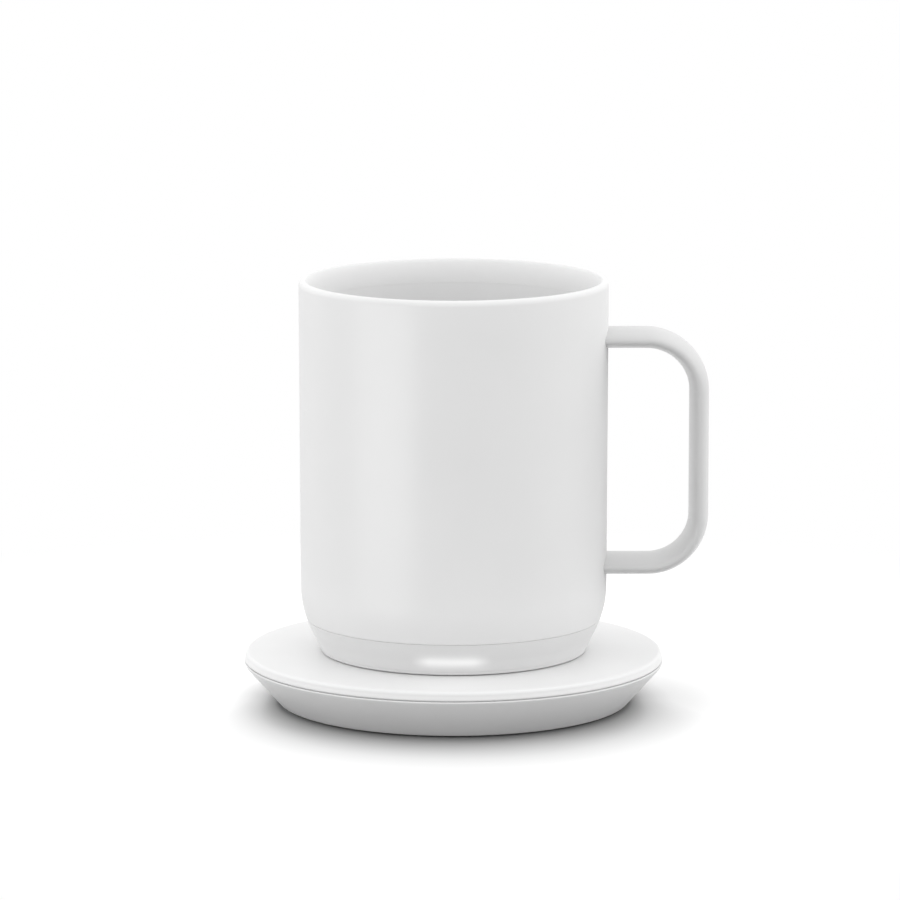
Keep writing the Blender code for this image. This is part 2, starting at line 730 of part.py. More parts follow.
def build_coaster_fixings():
    cylinder("coaster_foot_pad", PAD_RADIUS, 0, PAD_THICKNESS, SOFT_RUBBER, steps=LARGE_STEPS)
    head_low = PAD_SEAT_Z + GAP
    tip = COASTER_BOSS_Z + GAP + COASTER_SCREW_BITE
    for i, place in enumerate(coaster_screw_places(), 1):
        screw_piece(
            f"coaster_screw_{i}", place, head_low, COASTER_HEAD_RADIUS, COASTER_HEAD_HEIGHT,
            COASTER_SHANK_RADIUS, tip, STEEL,
        )


def pin_places():
    """One pin for each contact ring, on either side of the middle."""
    return {"inner": (INNER_RING_RADIUS, 0), "outer": (-OUTER_RING_RADIUS, 0)}


def flange_z():
    """Underside of a contact pin's flange, over its spring."""
    return COASTER_PART_Z + SPRING_HEIGHT + GAP


def build_pin_block():
    low_x = -OUTER_RING_RADIUS - PIN_BLOCK_MARGIN
    high_x = INNER_RING_RADIUS + PIN_BLOCK_MARGIN
    block_top = PLATE_Z - GAP
    block = box(
        "pin_block",
        (low_x, -PIN_BLOCK_WIDTH / 2, COASTER_PART_Z),
        (high_x, PIN_BLOCK_WIDTH / 2, block_top),
        BLACK_PLASTIC,
    )
    stop_z = flange_z() + PIN_FLANGE + GAP
    over = COASTER_HEIGHT + CUT_OVERRUN
    for name, place in pin_places().items():
        collar = cylinder(
            f"collar_{name}", COLLAR_RADIUS, block_top - PIN_FLANGE, COASTER_HEIGHT - COLLAR_SINK,
            place=place, steps=MEDIUM_STEPS,
        )
        bore_outline = [
            (0, over),
            (PIN_RADIUS + GAP, over),
            (PIN_RADIUS + GAP, stop_z),
            (PIN_FLANGE_RADIUS + GAP, stop_z),
            (PIN_FLANGE_RADIUS + GAP, COASTER_PART_Z - CUT_OVERRUN),
            (0, COASTER_PART_Z - CUT_OVERRUN),
        ]
        bore = turned(f"pin_bore_{name}", bore_outline, steps=MEDIUM_STEPS, location=(*place, 0))
        join(block, collar)
        cut(block, bore)


def build_pins():
    for name, place in pin_places().items():
        low = flange_z()
        outline = [
            (0, PIN_TIP_Z),
            (PIN_RADIUS - PIN_TIP_BEVEL, PIN_TIP_Z),
            (PIN_RADIUS, PIN_TIP_Z - PIN_TIP_BEVEL),
            (PIN_RADIUS, low + PIN_FLANGE),
            (PIN_FLANGE_RADIUS, low + PIN_FLANGE),
            (PIN_FLANGE_RADIUS, low),
            (0, low),
        ]
        turned(f"contact_pin_{name}", outline, GOLD_PLATE, SMALL_STEPS, location=(*place, 0))
        coil_radius = PIN_FLANGE_RADIUS - SPRING_WIRE / 2
        count = SPRING_TURNS * SPRING_POINTS_A_TURN
        low_wire = COASTER_PART_Z + SPRING_WIRE / 2
        climb = SPRING_HEIGHT - SPRING_WIRE
        points = []
        for i in range(count + 1):
            angle = math.tau * i / SPRING_POINTS_A_TURN
            points.append((
                place[0] + coil_radius * math.cos(angle),
                place[1] + coil_radius * math.sin(angle),
                low_wire + climb * i / count,
            ))
        tube(f"pin_spring_{name}", points, SPRING_WIRE / 2, STEEL)


def build_coaster_board():
    half = COASTER_BOARD_WIDTH / 2
    box(
        "coaster_board",
        (-half, -COASTER_BOARD_FRONT, COASTER_BOARD_Z),
        (half, COASTER_BOARD_BACK, COASTER_BOARD_TOP_Z),
        BOARD_LAMINATE,
    )
    standing_box("coaster_controller", CONTROLLER_SIZE, CONTROLLER_PLACE, COASTER_PART_Z, CHIP_PLASTIC)
    cylinder(
        "coaster_capacitor", CAPACITOR_RADIUS, COASTER_PART_Z, COASTER_PART_Z + CAPACITOR_HEIGHT, NICKEL,
        CAPACITOR_PLACE,
    )
    cylinder(
        "coaster_coil", COIL_RADIUS, COASTER_PART_Z, COASTER_PART_Z + COIL_HEIGHT, CHIP_PLASTIC, COIL_PLACE
    )


def build_inlet():
    front = JACK_POCKET_FLOOR - JACK_POCKET_WALL - GAP
    nose_end = JACK_POCKET_FLOOR - JACK_NOSE_SINK
    jack = box(
        "inlet_jack",
        (-JACK_WIDTH / 2, front - JACK_LENGTH, COASTER_PART_Z),
        (JACK_WIDTH / 2, front, COASTER_PART_Z + JACK_HEIGHT),
        BLACK_PLASTIC,
    )
    nose = lying_cylinder(
        "inlet_nose", JACK_NOSE_RADIUS, (0, front - CUT_OVERRUN, JACK_AXIS_Z), (0, nose_end, JACK_AXIS_Z),
        steps=MEDIUM_STEPS,
    )
    bore_end = nose_end - JACK_BORE_DEPTH
    bore = lying_cylinder(
        "inlet_bore", JACK_BORE_RADIUS, (0, bore_end, JACK_AXIS_Z),
        (0, nose_end + CUT_OVERRUN, JACK_AXIS_Z), steps=MEDIUM_STEPS,
    )
    join(jack, nose)
    cut(jack, bore)
    lying_cylinder(
        "inlet_pin", JACK_PIN_RADIUS, (0, bore_end + GAP, JACK_AXIS_Z),
        (0, nose_end - JACK_PIN_SINK, JACK_AXIS_Z), STEEL,
    )


# Mug

def build_outer_shell():
    """The coated outside with the rim: a thin wall that closes over the top as a solid bead."""
    crest = arc_points(
        (MUG_RIM_RADIUS - RIM_ROUND, RIM_Z - RIM_ROUND), (RIM_ROUND, RIM_ROUND), math.pi / 2, 0, 3
    )
    inner_top = MUG_RIM_RADIUS - RIM_LIP
    mouth = arc_points(
        (inner_top, BEAD_Z), (inner_top - LINER_RADIUS, RIM_BEAD), math.pi, math.pi / 2, ARC_STEPS + 1
    )
    outside = shell_side(RIM_Z - RIM_ROUND, 0)[1:]
    inside = shell_side(BEAD_Z, -SHELL_WALL)
    outline = crest + outside + list(reversed(inside)) + mouth
    shell = turned("outer_shell", outline, COATING, ring=True)
    for name, height in handle_heights().items():
        hole = lying_cylinder(
            f"shell_hole_{name}", STUD_RADIUS + GAP, (LINER_RADIUS, 0, height),
            (MUG_RIM_RADIUS + CUT_OVERRUN, 0, height),
        )
        cut(shell, hole)


def build_liner():
    """The cup that holds the drink."""
    outer = LINER_RADIUS + LINER_WALL
    top = BEAD_Z - GAP
    inner_round = LINER_ROUND
    outer_round = LINER_ROUND + LINER_WALL
    inside = arc_points(
        (LINER_RADIUS - inner_round, LINER_FLOOR_Z + inner_round), (inner_round, inner_round),
        -math.pi / 2, 0, ARC_STEPS,
    )
    outside = arc_points(
        (outer - outer_round, LINER_Z + outer_round), (outer_round, outer_round), 0, -math.pi / 2, ARC_STEPS
    )
    outline = [(0, LINER_FLOOR_Z)] + inside + [(LINER_RADIUS, top), (outer, top)] + outside + [(0, LINER_Z)]
    turned("inner_liner", outline, COATING)


def handle_heights():
    return {"upper": MUG_Z + HANDLE_TOP_HEIGHT, "lower": MUG_Z + HANDLE_BOTTOM_HEIGHT}


def shell_cutter():
    """The mug's outside as a solid, grown by the fit, which shapes the handle's ends."""
    shoulder = MUG_Z + SHOULDER_HEIGHT
    top = RIM_Z + CUT_OVERRUN
    side = [(mug_radius(top) + GAP, top)] + side_points(shoulder, SEAM_Z, GAP, ARC_STEPS + 2)
    return turned("shell_envelope", [(0, top)] + side + [(0, SEAM_Z)])


def build_handle():
    """A loop of oval strap: a round bar along the loop, widened to the strap's width."""
    heights = handle_heights()
    middle = HANDLE_REACH - STRAP_THICKNESS / 2
    corners = [
        (LINER_RADIUS, 0, heights["upper"]),
        (middle, 0, heights["upper"]),
        (middle, 0, heights["lower"]),
        (LINER_RADIUS, 0, heights["lower"]),
    ]
    route = filleted(corners, HANDLE_CORNER, HANDLE_CORNER_STEPS)
    handle = tube("handle", route, STRAP_THICKNESS / 2, HANDLE_COATING, STRAP_ROUNDNESS)
    handle.data.transform(Matrix.Diagonal((1, STRAP_WIDTH / STRAP_THICKNESS, 1, 1)))
    cut(handle, shell_cutter())
    for name, height in heights.items():
        end = stud_seat(height) + SHELL_WALL + STUD_BITE + 2 * GAP
        bore = lying_cylinder(
            f"handle_bore_{name}", STUD_RADIUS + GAP, (LINER_RADIUS, 0, height), (end, 0, height)
        )
        cut(handle, bore)
    return handle


def stud_seat(height):
    """Where a stud's head ends under the shell's wall, measured from the axis."""
    return mug_radius(height) - SHELL_WALL - GAP


def build_studs():
    for name, height in handle_heights().items():
        shank = SHELL_WALL + STUD_BITE + GAP
        outline = [
            (0, shank),
            (STUD_RADIUS, shank),
            (STUD_RADIUS, 0),
            (STUD_HEAD_RADIUS, 0),
            (STUD_HEAD_RADIUS, -STUD_HEAD_HEIGHT),
            (0, -STUD_HEAD_HEIGHT),
        ]
        turned(
            f"handle_stud_{name}", outline, STEEL, SMALL_STEPS,
            location=(stud_seat(height), 0, height), rotation=(0, math.pi / 2, 0),
        )


def window_prism(name, growth):
    """The window's outline run through the band's front wall."""
    outline = stadium(WINDOW_LENGTH + 2 * growth, WINDOW_HEIGHT + 2 * growth, ARC_STEPS + 1)
    depth = MUG_RIM_RADIUS - WINDOW_INNER_RADIUS + 2 * CUT_OVERRUN
    middle = (MUG_RIM_RADIUS + WINDOW_INNER_RADIUS) / 2
    return flat_plate(
        name, outline, depth, None, (0, -middle, MUG_Z + WINDOW_CENTRE_HEIGHT), (math.pi / 2, 0, 0)
    )


def build_band():
    """The lower ring: a ledge over the base cover, a shelf for the carrier and a spigot into the shell."""
    spigot_outer = mug_radius(SEAM_Z + GAP / 2) - SHELL_WALL - GAP
    spigot_inner = spigot_outer - SPIGOT_WALL
    spigot_top = SEAM_Z + SPIGOT_HEIGHT
    bottom = MUG_Z + BAND_CLEARANCE
    outline = [(spigot_outer, spigot_top), (spigot_outer, SEAM_Z - GAP / 2)]
    outline += band_side(0)
    outline += [
        (BASE_RADIUS - BAND_EDGE_BEVEL, bottom),
        (BAND_BORE_RADIUS, bottom),
        (BAND_BORE_RADIUS, LEDGE_Z),
        (LEDGE_RADIUS, LEDGE_Z),
        (LEDGE_RADIUS, LEDGE_TOP_Z),
        (SHELF_RADIUS, BOARD_Z - GAP),
        (SHELF_RADIUS, CARRIER_Z - GAP),
        (spigot_inner, CARRIER_Z - GAP),
        (spigot_inner, spigot_top),
    ]
    band = turned("base_band", outline, BAND_PLASTIC, ring=True)
    cut(band, window_prism("window_slot", GAP))


def build_window():
    top = SEAM_Z - GAP / 2
    outline = band_side(0) + [(WINDOW_INNER_RADIUS, MUG_Z + BAND_CLEARANCE + BAND_EDGE_BEVEL)]
    outline.append((WINDOW_INNER_RADIUS, top))
    window = turned("light_window", outline, WINDOW_PLASTIC, ring=True)
    combine(window, window_prism("window_prism", 0), "INTERSECT")
    low = SWITCH_Z
    for i, side in enumerate((-1, 1), 1):
        place = (side * EMITTER_SPREAD, -EMITTER_FRONT + EMITTER_SIZE[1] / 2)
        standing_box(f"light_emitter_{i}", EMITTER_SIZE, place, low, EMITTER_PLASTIC)


def base_screw_places():
    return on_circle(FOOT_RING_RADIUS, BASE_SCREW_START, BASE_SCREW_COUNT)


def groove_points(radius, width, ceiling):
    """A ring groove in the base cover's underside, from its outer side inwards."""
    outer, inner = radius + width / 2 + GAP, radius - width / 2 - GAP
    return [(outer, COVER_Z), (outer, ceiling), (inner, ceiling), (inner, COVER_Z)]


def terminal_places():
    return {"inner": (0, INNER_RING_RADIUS), "outer": (0, OUTER_RING_RADIUS)}


def build_base_cover():
    plate_radius = LEDGE_RADIUS - GAP
    flange_radius = BAND_BORE_RADIUS - GAP
    hole_radius = BUTTON_RADIUS + GAP
    outline = [
        (plate_radius, COVER_TOP_Z),
        (plate_radius, COVER_FLANGE_Z),
        (flange_radius, COVER_FLANGE_Z),
        (flange_radius, COVER_Z),
    ]
    outline += groove_points(FOOT_RING_RADIUS, FOOT_RING_WIDTH, FOOT_GROOVE_Z)
    outline += groove_points(OUTER_RING_RADIUS, RING_WIDTH, RING_TOP_Z + GAP)
    outline += groove_points(INNER_RING_RADIUS, RING_WIDTH, RING_TOP_Z + GAP)
    outline += [(hole_radius, COVER_Z), (hole_radius, COVER_TOP_Z)]
    cover = turned("base_cover", outline, BAND_PLASTIC, ring=True)
    boss_top = BOARD_Z - GAP
    for i, place in enumerate(base_screw_places(), 1):
        boss = cylinder(
            f"base_boss_{i}", BASE_BOSS_RADIUS, COVER_TOP_Z - BASE_COVER_THICKNESS / 4, boss_top,
            place=place,
        )
        pocket = cylinder(
            f"base_head_pocket_{i}", BASE_HEAD_RADIUS + GAP, COVER_Z - CUT_OVERRUN,
            BASE_HEAD_TOP_Z + GAP, place=place,
        )
        shank_hole = cylinder(
            f"base_shank_hole_{i}", BASE_SHANK_RADIUS + GAP, COVER_Z, boss_top + CUT_OVERRUN, place=place
        )
        join(cover, boss)
        cut(cover, pocket, shank_hole)
    for name, place in terminal_places().items():
        hole = cylinder(
            f"cover_terminal_hole_{name}", TERMINAL_RADIUS + GAP, COVER_Z - CUT_OVERRUN,
            COVER_TOP_Z + CUT_OVERRUN, place=place,
        )
        cut(cover, hole)


def flat_ring(name, inner, outer, low, high, material, steps=LARGE_STEPS):
    outline = [(outer, high), (outer, low), (inner, low), (inner, high)]
    return turned(name, outline, material, steps, ring=True)


def build_base_rings():
    """The cover's seal, the foot ring and the two contact rings with their terminals."""
    flat_ring(
        "cover_seal", LEDGE_RADIUS, BAND_BORE_RADIUS - GAP, SEAL_Z, SEAL_Z + SEAL_THICKNESS, SEAL_RUBBER
    )
    foot_outer = FOOT_RING_RADIUS + FOOT_RING_WIDTH / 2
    foot_inner = FOOT_RING_RADIUS - FOOT_RING_WIDTH / 2
    foot_top = MUG_Z + FOOT_RING_THICKNESS
    foot_outline = [
        (foot_outer, foot_top),
        (foot_outer, MUG_Z + FOOT_RING_BEVEL),
        (foot_outer - FOOT_RING_BEVEL, MUG_Z),
        (foot_inner + FOOT_RING_BEVEL, MUG_Z),
        (foot_inner, MUG_Z + FOOT_RING_BEVEL),
        (foot_inner, foot_top),
    ]
    turned("foot_ring", foot_outline, SOFT_RUBBER, ring=True)
    radii = {"inner": INNER_RING_RADIUS, "outer": OUTER_RING_RADIUS}
    for name, place in terminal_places().items():
        ring = flat_ring(
            f"contact_ring_{name}", radii[name] - RING_WIDTH / 2, radii[name] + RING_WIDTH / 2,
            RING_Z, RING_TOP_Z, GOLD_PLATE, MEDIUM_STEPS,
        )
        terminal = cylinder(
            f"terminal_{name}", TERMINAL_RADIUS, RING_Z + RING_THICKNESS / 2, MUG_PART_Z, place=place
        )
        join(ring, terminal)


def build_base_screws():
    for i, place in enumerate(base_screw_places(), 1):
        screw_piece(
            f"base_screw_{i}", place, BASE_HEAD_Z, BASE_HEAD_RADIUS, BASE_HEAD_HEIGHT, BASE_SHANK_RADIUS,
            CARRIER_TOP_Z - CARRIER_ROOF - GAP, STEEL,
        )


def build_button():
    outline = [
        (0, BUTTON_TOP_Z),
        (BUTTON_FLANGE_RADIUS, BUTTON_TOP_Z),
        (BUTTON_FLANGE_RADIUS, BUTTON_FLANGE_Z),
        (BUTTON_RADIUS, BUTTON_FLANGE_Z),
        (BUTTON_RADIUS, BUTTON_Z + BUTTON_EDGE_BEVEL),
        (BUTTON_RADIUS - BUTTON_EDGE_BEVEL, BUTTON_Z),
        (0, BUTTON_Z),
    ]
    turned("power_button", outline, BUTTON_PLASTIC, MEDIUM_STEPS)
    plunger_z = BUTTON_TOP_Z + GAP
    cylinder("switch_plunger", PLUNGER_RADIUS, plunger_z, SWITCH_Z + PLUNGER_ENTRY, BLACK_PLASTIC)
    switch = standing_box(
        "power_switch", (SWITCH_WIDTH, SWITCH_WIDTH, SWITCH_HEIGHT), (0, 0), SWITCH_Z, STEEL
    )
    hole_top = SWITCH_Z + PLUNGER_ENTRY + BUTTON_TRAVEL + GAP
    cut(switch, cylinder("switch_hole", PLUNGER_RADIUS + GAP, SWITCH_Z - CUT_OVERRUN, hole_top))


def build_main_board():
    board = cylinder(
        "main_board", SHELF_RADIUS - GAP, BOARD_Z, BOARD_TOP_Z, BOARD_LAMINATE, steps=LARGE_STEPS
    )
    low, high = BOARD_Z - CUT_OVERRUN, BOARD_TOP_Z + CUT_OVERRUN
    for i, place in enumerate(base_screw_places(), 1):
        cut(board, cylinder(f"board_screw_hole_{i}", BASE_SHANK_RADIUS + GAP, low, high, place=place))
    for name, place in terminal_places().items():
        cut(board, cylinder(f"board_terminal_hole_{name}", TERMINAL_RADIUS + GAP, low, high, place=place))
    standing_box("processor_chip", PROCESSOR_SIZE, PROCESSOR_PLACE, MUG_PART_Z, CHIP_PLASTIC)
    standing_box("radio_module", RADIO_SIZE, RADIO_PLACE, MUG_PART_Z, NICKEL)
    standing_box("charger_chip", CHARGER_SIZE, CHARGER_PLACE, MUG_PART_Z, CHIP_PLASTIC)
    standing_box("power_coil", POWER_COIL_SIZE, POWER_COIL_PLACE, MUG_PART_Z, CHIP_PLASTIC)


def cell_places():
    return [-CELL_PITCH / 2, CELL_PITCH / 2]


def carrier_radius():
    return mug_radius(SEAM_Z + GAP / 2) - SHELL_WALL - GAP - SPIGOT_WALL - GAP


def build_carrier():
    carrier = cylinder(
        "battery_carrier", carrier_radius(), CARRIER_Z, CARRIER_TOP_Z, CARRIER_PLASTIC, steps=LARGE_STEPS
    )
    half_x = CELL_PITCH / 2 + CELL_RADIUS + GAP + CRADLE_WALL
    half_y = CELL_LENGTH / 2 + GAP + CRADLE_WALL
    cradle = box(
        "cradle", (-half_x, -half_y, CARRIER_Z + CARRIER_THICKNESS / 2), (half_x, half_y, CRADLE_TOP_Z)
    )
    join(carrier, cradle)
    reach = CELL_LENGTH / 2 + GAP
    for i, x in enumerate(cell_places(), 1):
        trough = lying_cylinder(
            f"cell_trough_{i}", CELL_RADIUS + GAP, (x, -reach, CELL_Z), (x, reach, CELL_Z),
            steps=MEDIUM_STEPS,
        )
        cut(carrier, trough)
    pilot_top = CARRIER_TOP_Z - CARRIER_ROOF
    for i, place in enumerate(base_screw_places(), 1):
        post = cylinder(
            f"carrier_post_{i}", BASE_BOSS_RADIUS, MUG_PART_Z, CARRIER_Z + CARRIER_THICKNESS / 2,
            place=place,
        )
        pilot = cylinder(
            f"carrier_pilot_{i}", BASE_SHANK_RADIUS + GAP, MUG_PART_Z - CUT_OVERRUN, pilot_top, place=place
        )
        join(carrier, post)
        cut(carrier, pilot)
    for name, place in wire_drops().items():
        hole = cylinder(
            f"carrier_hole_{name}", WIRE_RADIUS + GAP, CARRIER_Z - CUT_OVERRUN, CARRIER_TOP_Z + CUT_OVERRUN,
            place=place,
        )
        cut(carrier, hole)


def build_cells():
    """Two cells side by side, one turned end for end, and the link between them."""
    body_end = CELL_LENGTH / 2 - CELL_NUB_HEIGHT
    outline = [
        (0, CELL_LENGTH / 2),
        (CELL_NUB_RADIUS, CELL_LENGTH / 2),
        (CELL_NUB_RADIUS, body_end),
        (CELL_RADIUS, body_end),
        (CELL_RADIUS, -CELL_LENGTH / 2),
        (0, -CELL_LENGTH / 2),
    ]
    for i, (x, turn) in enumerate(zip(cell_places(), (-math.pi / 2, math.pi / 2)), 1):
        turned(
            f"battery_cell_{i}", outline, CELL_WRAP, MEDIUM_STEPS, location=(x, 0, CELL_Z),
            rotation=(turn, 0, 0),
        )
    link_y = CELL_LENGTH / 2 + GAP
    link_z = CRADLE_TOP_Z + GAP
    box(
        "cell_link",
        (-LINK_LENGTH / 2, link_y, link_z),
        (LINK_LENGTH / 2, link_y + LINK_THICKNESS, link_z + LINK_HEIGHT),
        NICKEL,
    )


def wire_drops():
    """Where the wires pass down through the carrier."""
    return {
        "heater_1": (-HEATER_WIRE_SPREAD, HEATER_WIRE_DROP_RADIUS),
        "heater_2": (HEATER_WIRE_SPREAD, HEATER_WIRE_DROP_RADIUS),
        "battery_1": (-CELL_PITCH / 2, -CELL_WIRE_DROP),
        "battery_2": (CELL_PITCH / 2, -CELL_WIRE_DROP),
    }


def build_wires():
    colours = {"1": RED_WIRE, "2": BLACK_WIRE}
    starts = {
        "heater": (HEATER_RADIUS + GAP, HEATER_Z + WIRE_RADIUS / 4),
        "battery": (-CELL_LENGTH / 2 - GAP, CELL_Z),
    }
    for name, (x, y) in wire_drops().items():
        kind, number = name.split("_")
        start_y, start_z = starts[kind]
        corners = [(x, start_y, start_z), (x, y, start_z), (x, y, MUG_PART_Z)]
        route = filleted(corners, WIRE_BEND, WIRE_BEND_STEPS)
        tube(f"{kind}_wire_{number}", route, WIRE_RADIUS, colours[number])


def build_heater():
    """The insulation over the cells, the heater under the liner and two sensors between them."""
    insulation = cylinder(
        "insulation_disc", HEATER_RADIUS, INSULATION_Z, INSULATION_TOP_Z, INSULATION_FOAM,
        steps=MEDIUM_STEPS,
    )
    grown = (SENSOR_SIZE[0] + 2 * GAP, SENSOR_SIZE[1] + 2 * GAP, SENSOR_SIZE[2] + CUT_OVERRUN)
    sensor_z = INSULATION_TOP_Z - SENSOR_SIZE[2]
    for i, side in enumerate((-1, 1), 1):
        place = (side * SENSOR_SPREAD, 0)
        standing_box(f"temperature_sensor_{i}", SENSOR_SIZE, place, sensor_z, CHIP_PLASTIC)
        cut(insulation, standing_box(f"sensor_pocket_{i}", grown, place, sensor_z - GAP, None))
    cylinder(
        "heater_disc", HEATER_RADIUS, HEATER_Z, HEATER_Z + HEATER_THICKNESS, HEATER_FILM, steps=MEDIUM_STEPS
    )


# Frames that carry what moves

MOVING = {
    "mug_frame": ((0, 0, MUG_Z), None, (
        "outer_shell", "inner_liner", "handle", "handle_stud", "base_band", "light", "base_cover",
        "cover_seal", "foot_ring", "contact_ring", "base_screw", "power_switch", "main_board",
        "processor_chip", "radio_module", "charger_chip", "power_coil", "battery", "cell_link",
        "heater", "insulation_disc", "temperature_sensor",
    )),
    "button_frame": ((0, 0, BUTTON_Z), "mug_frame", ("power_button", "switch_plunger")),
}


def parent_to_frames():
    """Empties on the axes of the mug and of its button, which their pieces follow."""
    frames = {}
    for name, (place, parent, starts) in MOVING.items():
        frame = bpy.data.objects.new(name, None)
        PIECES.objects.link(frame)
        frame.location = place
        if parent:
            frame.parent = frames[parent]
            frame.matrix_parent_inverse = Matrix.Translation(-Vector(MOVING[parent][0]))
        frames[name] = frame
        for piece in list(PIECES.objects):
            if piece.type == "MESH" and piece.name.startswith(starts):
                piece.parent = frame
                piece.matrix_parent_inverse = Matrix.Translation(-Vector(place))


def shade_round_pieces():
    for piece in PIECES.objects:
        if piece.type == "MESH":
            piece.data.shade_smooth()
            piece.data.set_sharp_from_angle(angle=math.radians(35))


build_lower_shell()
build_top_cover()
build_coaster_fixings()
build_coaster_board()
build_pin_block()
build_pins()
build_inlet()
build_outer_shell()
build_liner()
build_handle()
build_studs()
build_band()
build_window()
build_base_cover()
build_base_rings()
build_base_screws()
build_button()
build_main_board()
build_carrier()
build_cells()
build_wires()
build_heater()
parent_to_frames()
shade_round_pieces()
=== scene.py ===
"""Looks of the self heating mug on its charging coaster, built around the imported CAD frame.

Metres, +Z up, the front at -Y, the handle at +X and the power inlet at +Y.
"""

import json
import math

import bmesh
import bpy
from mathutils import Matrix, Vector

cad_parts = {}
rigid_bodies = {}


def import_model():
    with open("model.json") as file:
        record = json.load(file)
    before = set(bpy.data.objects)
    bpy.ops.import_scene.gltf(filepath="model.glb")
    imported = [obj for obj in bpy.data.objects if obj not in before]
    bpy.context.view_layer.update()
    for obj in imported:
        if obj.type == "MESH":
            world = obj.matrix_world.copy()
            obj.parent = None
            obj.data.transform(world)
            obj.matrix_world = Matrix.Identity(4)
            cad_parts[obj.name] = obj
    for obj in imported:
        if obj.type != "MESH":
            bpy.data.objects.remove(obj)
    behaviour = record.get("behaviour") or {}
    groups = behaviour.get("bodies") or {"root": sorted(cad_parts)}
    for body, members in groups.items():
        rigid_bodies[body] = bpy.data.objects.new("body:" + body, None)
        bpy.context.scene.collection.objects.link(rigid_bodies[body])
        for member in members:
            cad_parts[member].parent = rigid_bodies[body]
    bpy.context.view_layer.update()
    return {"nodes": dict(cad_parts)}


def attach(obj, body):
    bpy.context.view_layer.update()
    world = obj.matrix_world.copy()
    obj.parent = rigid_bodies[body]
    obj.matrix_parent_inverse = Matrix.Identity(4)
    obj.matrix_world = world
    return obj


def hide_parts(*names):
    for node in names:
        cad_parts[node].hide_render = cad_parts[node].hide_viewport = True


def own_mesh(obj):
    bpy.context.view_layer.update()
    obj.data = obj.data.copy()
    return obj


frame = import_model()
MM = 0.001

# Faces round a large and a small turned piece, and the gap in millimetres that a cut mesh is
# welded over
TURNS = 192
SMALL_TURNS = 64
WELD = 0.001


# Camera, fitted to the photo

SENSOR_WIDTH, LENS = 36, 233.1
ELEVATION = math.radians(9.865)
TARGET = Vector((-0.00093, 0, 0.06602))
DISTANCE = 1.5098

camera_data = bpy.data.cameras.new("camera")
camera_data.sensor_width = SENSOR_WIDTH
camera_data.lens = LENS
camera_data.clip_start, camera_data.clip_end = 0.05, 20
camera = bpy.data.objects.new("camera", camera_data)
bpy.context.scene.collection.objects.link(camera)
away = Vector((0, -math.cos(ELEVATION), math.sin(ELEVATION)))
camera.location = TARGET + DISTANCE * away
camera.rotation_euler = (math.pi / 2 - ELEVATION, 0, 0)
bpy.context.scene.camera = camera
bpy.context.scene.view_settings.view_transform = "Standard"


# Materials

COAT_ROUGHNESS = 0.12
CLOUD_SCALE = 38.0
GLOSS_SPREAD = 0.2
GRAIN_DEPTH = 0.0002
EDGE_POWER = 2.0


def node(tree, kind, place, **values):
    made = tree.nodes.new(kind)
    made.location = place
    for key, value in values.items():
        setattr(made, key, value)
    return made


def combined(tree, operation, first, second, place):
    """The result of a Math node, from a socket and from another socket or a number."""
    made = node(tree, "ShaderNodeMath", place, operation=operation)
    tree.links.new(first, made.inputs[0])
    if isinstance(second, float):
        made.inputs[1].default_value = second
    else:
        tree.links.new(second, made.inputs[1])
    return made.outputs[0]


def eased(tree, value, place, start, end, first=0.0, last=1.0):
    """A smooth run from first to last, while the value goes from start to end."""
    ramp = node(tree, "ShaderNodeMapRange", place, interpolation_type="SMOOTHSTEP")
    ramp.inputs["From Min"].default_value = start
    ramp.inputs["From Max"].default_value = end
    ramp.inputs["To Min"].default_value = first
    ramp.inputs["To Max"].default_value = last
    tree.links.new(value, ramp.inputs["Value"])
    return ramp.outputs["Result"]


def coated(name, colour, roughness, grain=0.1, grain_size=900.0, bump=0.02, shade=0.012,
           coat=0.0, metallic=0.0):
    """A painted, moulded or plated surface.

    Fine grain goes into its bump and its gloss, and a slight cloudiness into its colour.
    """
    material = bpy.data.materials.new(name)
    material.use_nodes = True
    tree = material.node_tree
    shader = tree.nodes["Principled BSDF"]
    shader.inputs["Metallic"].default_value = metallic
    shader.inputs["Coat Weight"].default_value = coat
    shader.inputs["Coat Roughness"].default_value = COAT_ROUGHNESS
    place = node(tree, "ShaderNodeTexCoord", (-1100, 0))
    cloud = node(tree, "ShaderNodeTexNoise", (-900, 250))
    cloud.inputs["Scale"].default_value = CLOUD_SCALE
    cloud.inputs["Detail"].default_value = 4.0
    tint = node(tree, "ShaderNodeValToRGB", (-650, 250))
    tint.color_ramp.elements[0].position = 0.3
    tint.color_ramp.elements[1].position = 0.7
    dark = [max(channel * (1 - shade), 0) for channel in colour]
    light = [min(channel * (1 + shade), 1) for channel in colour]
    tint.color_ramp.elements[0].color = (*dark, 1)
    tint.color_ramp.elements[1].color = (*light, 1)
    fine = node(tree, "ShaderNodeTexNoise", (-900, -150))
    fine.inputs["Scale"].default_value = grain_size
    fine.inputs["Detail"].default_value = 3.0
    gloss = node(tree, "ShaderNodeMapRange", (-650, -50))
    gloss.inputs["To Min"].default_value = roughness * (1 - GLOSS_SPREAD * grain)
    gloss.inputs["To Max"].default_value = roughness * (1 + GLOSS_SPREAD * grain)
    relief = node(tree, "ShaderNodeBump", (-350, -250))
    relief.inputs["Strength"].default_value = bump
    relief.inputs["Distance"].default_value = GRAIN_DEPTH
    links = tree.links
    links.new(place.outputs["Object"], cloud.inputs["Vector"])
    links.new(place.outputs["Object"], fine.inputs["Vector"])
    links.new(cloud.outputs["Fac"], tint.inputs["Fac"])
    links.new(tint.outputs["Color"], shader.inputs["Base Color"])
    links.new(fine.outputs["Fac"], gloss.inputs["Value"])
    links.new(gloss.outputs["Result"], shader.inputs["Roughness"])
    links.new(fine.outputs["Fac"], relief.inputs["Height"])
    links.new(relief.outputs["Normal"], shader.inputs["Normal"])
    return material


def grey(value):
    return (value, value, value)


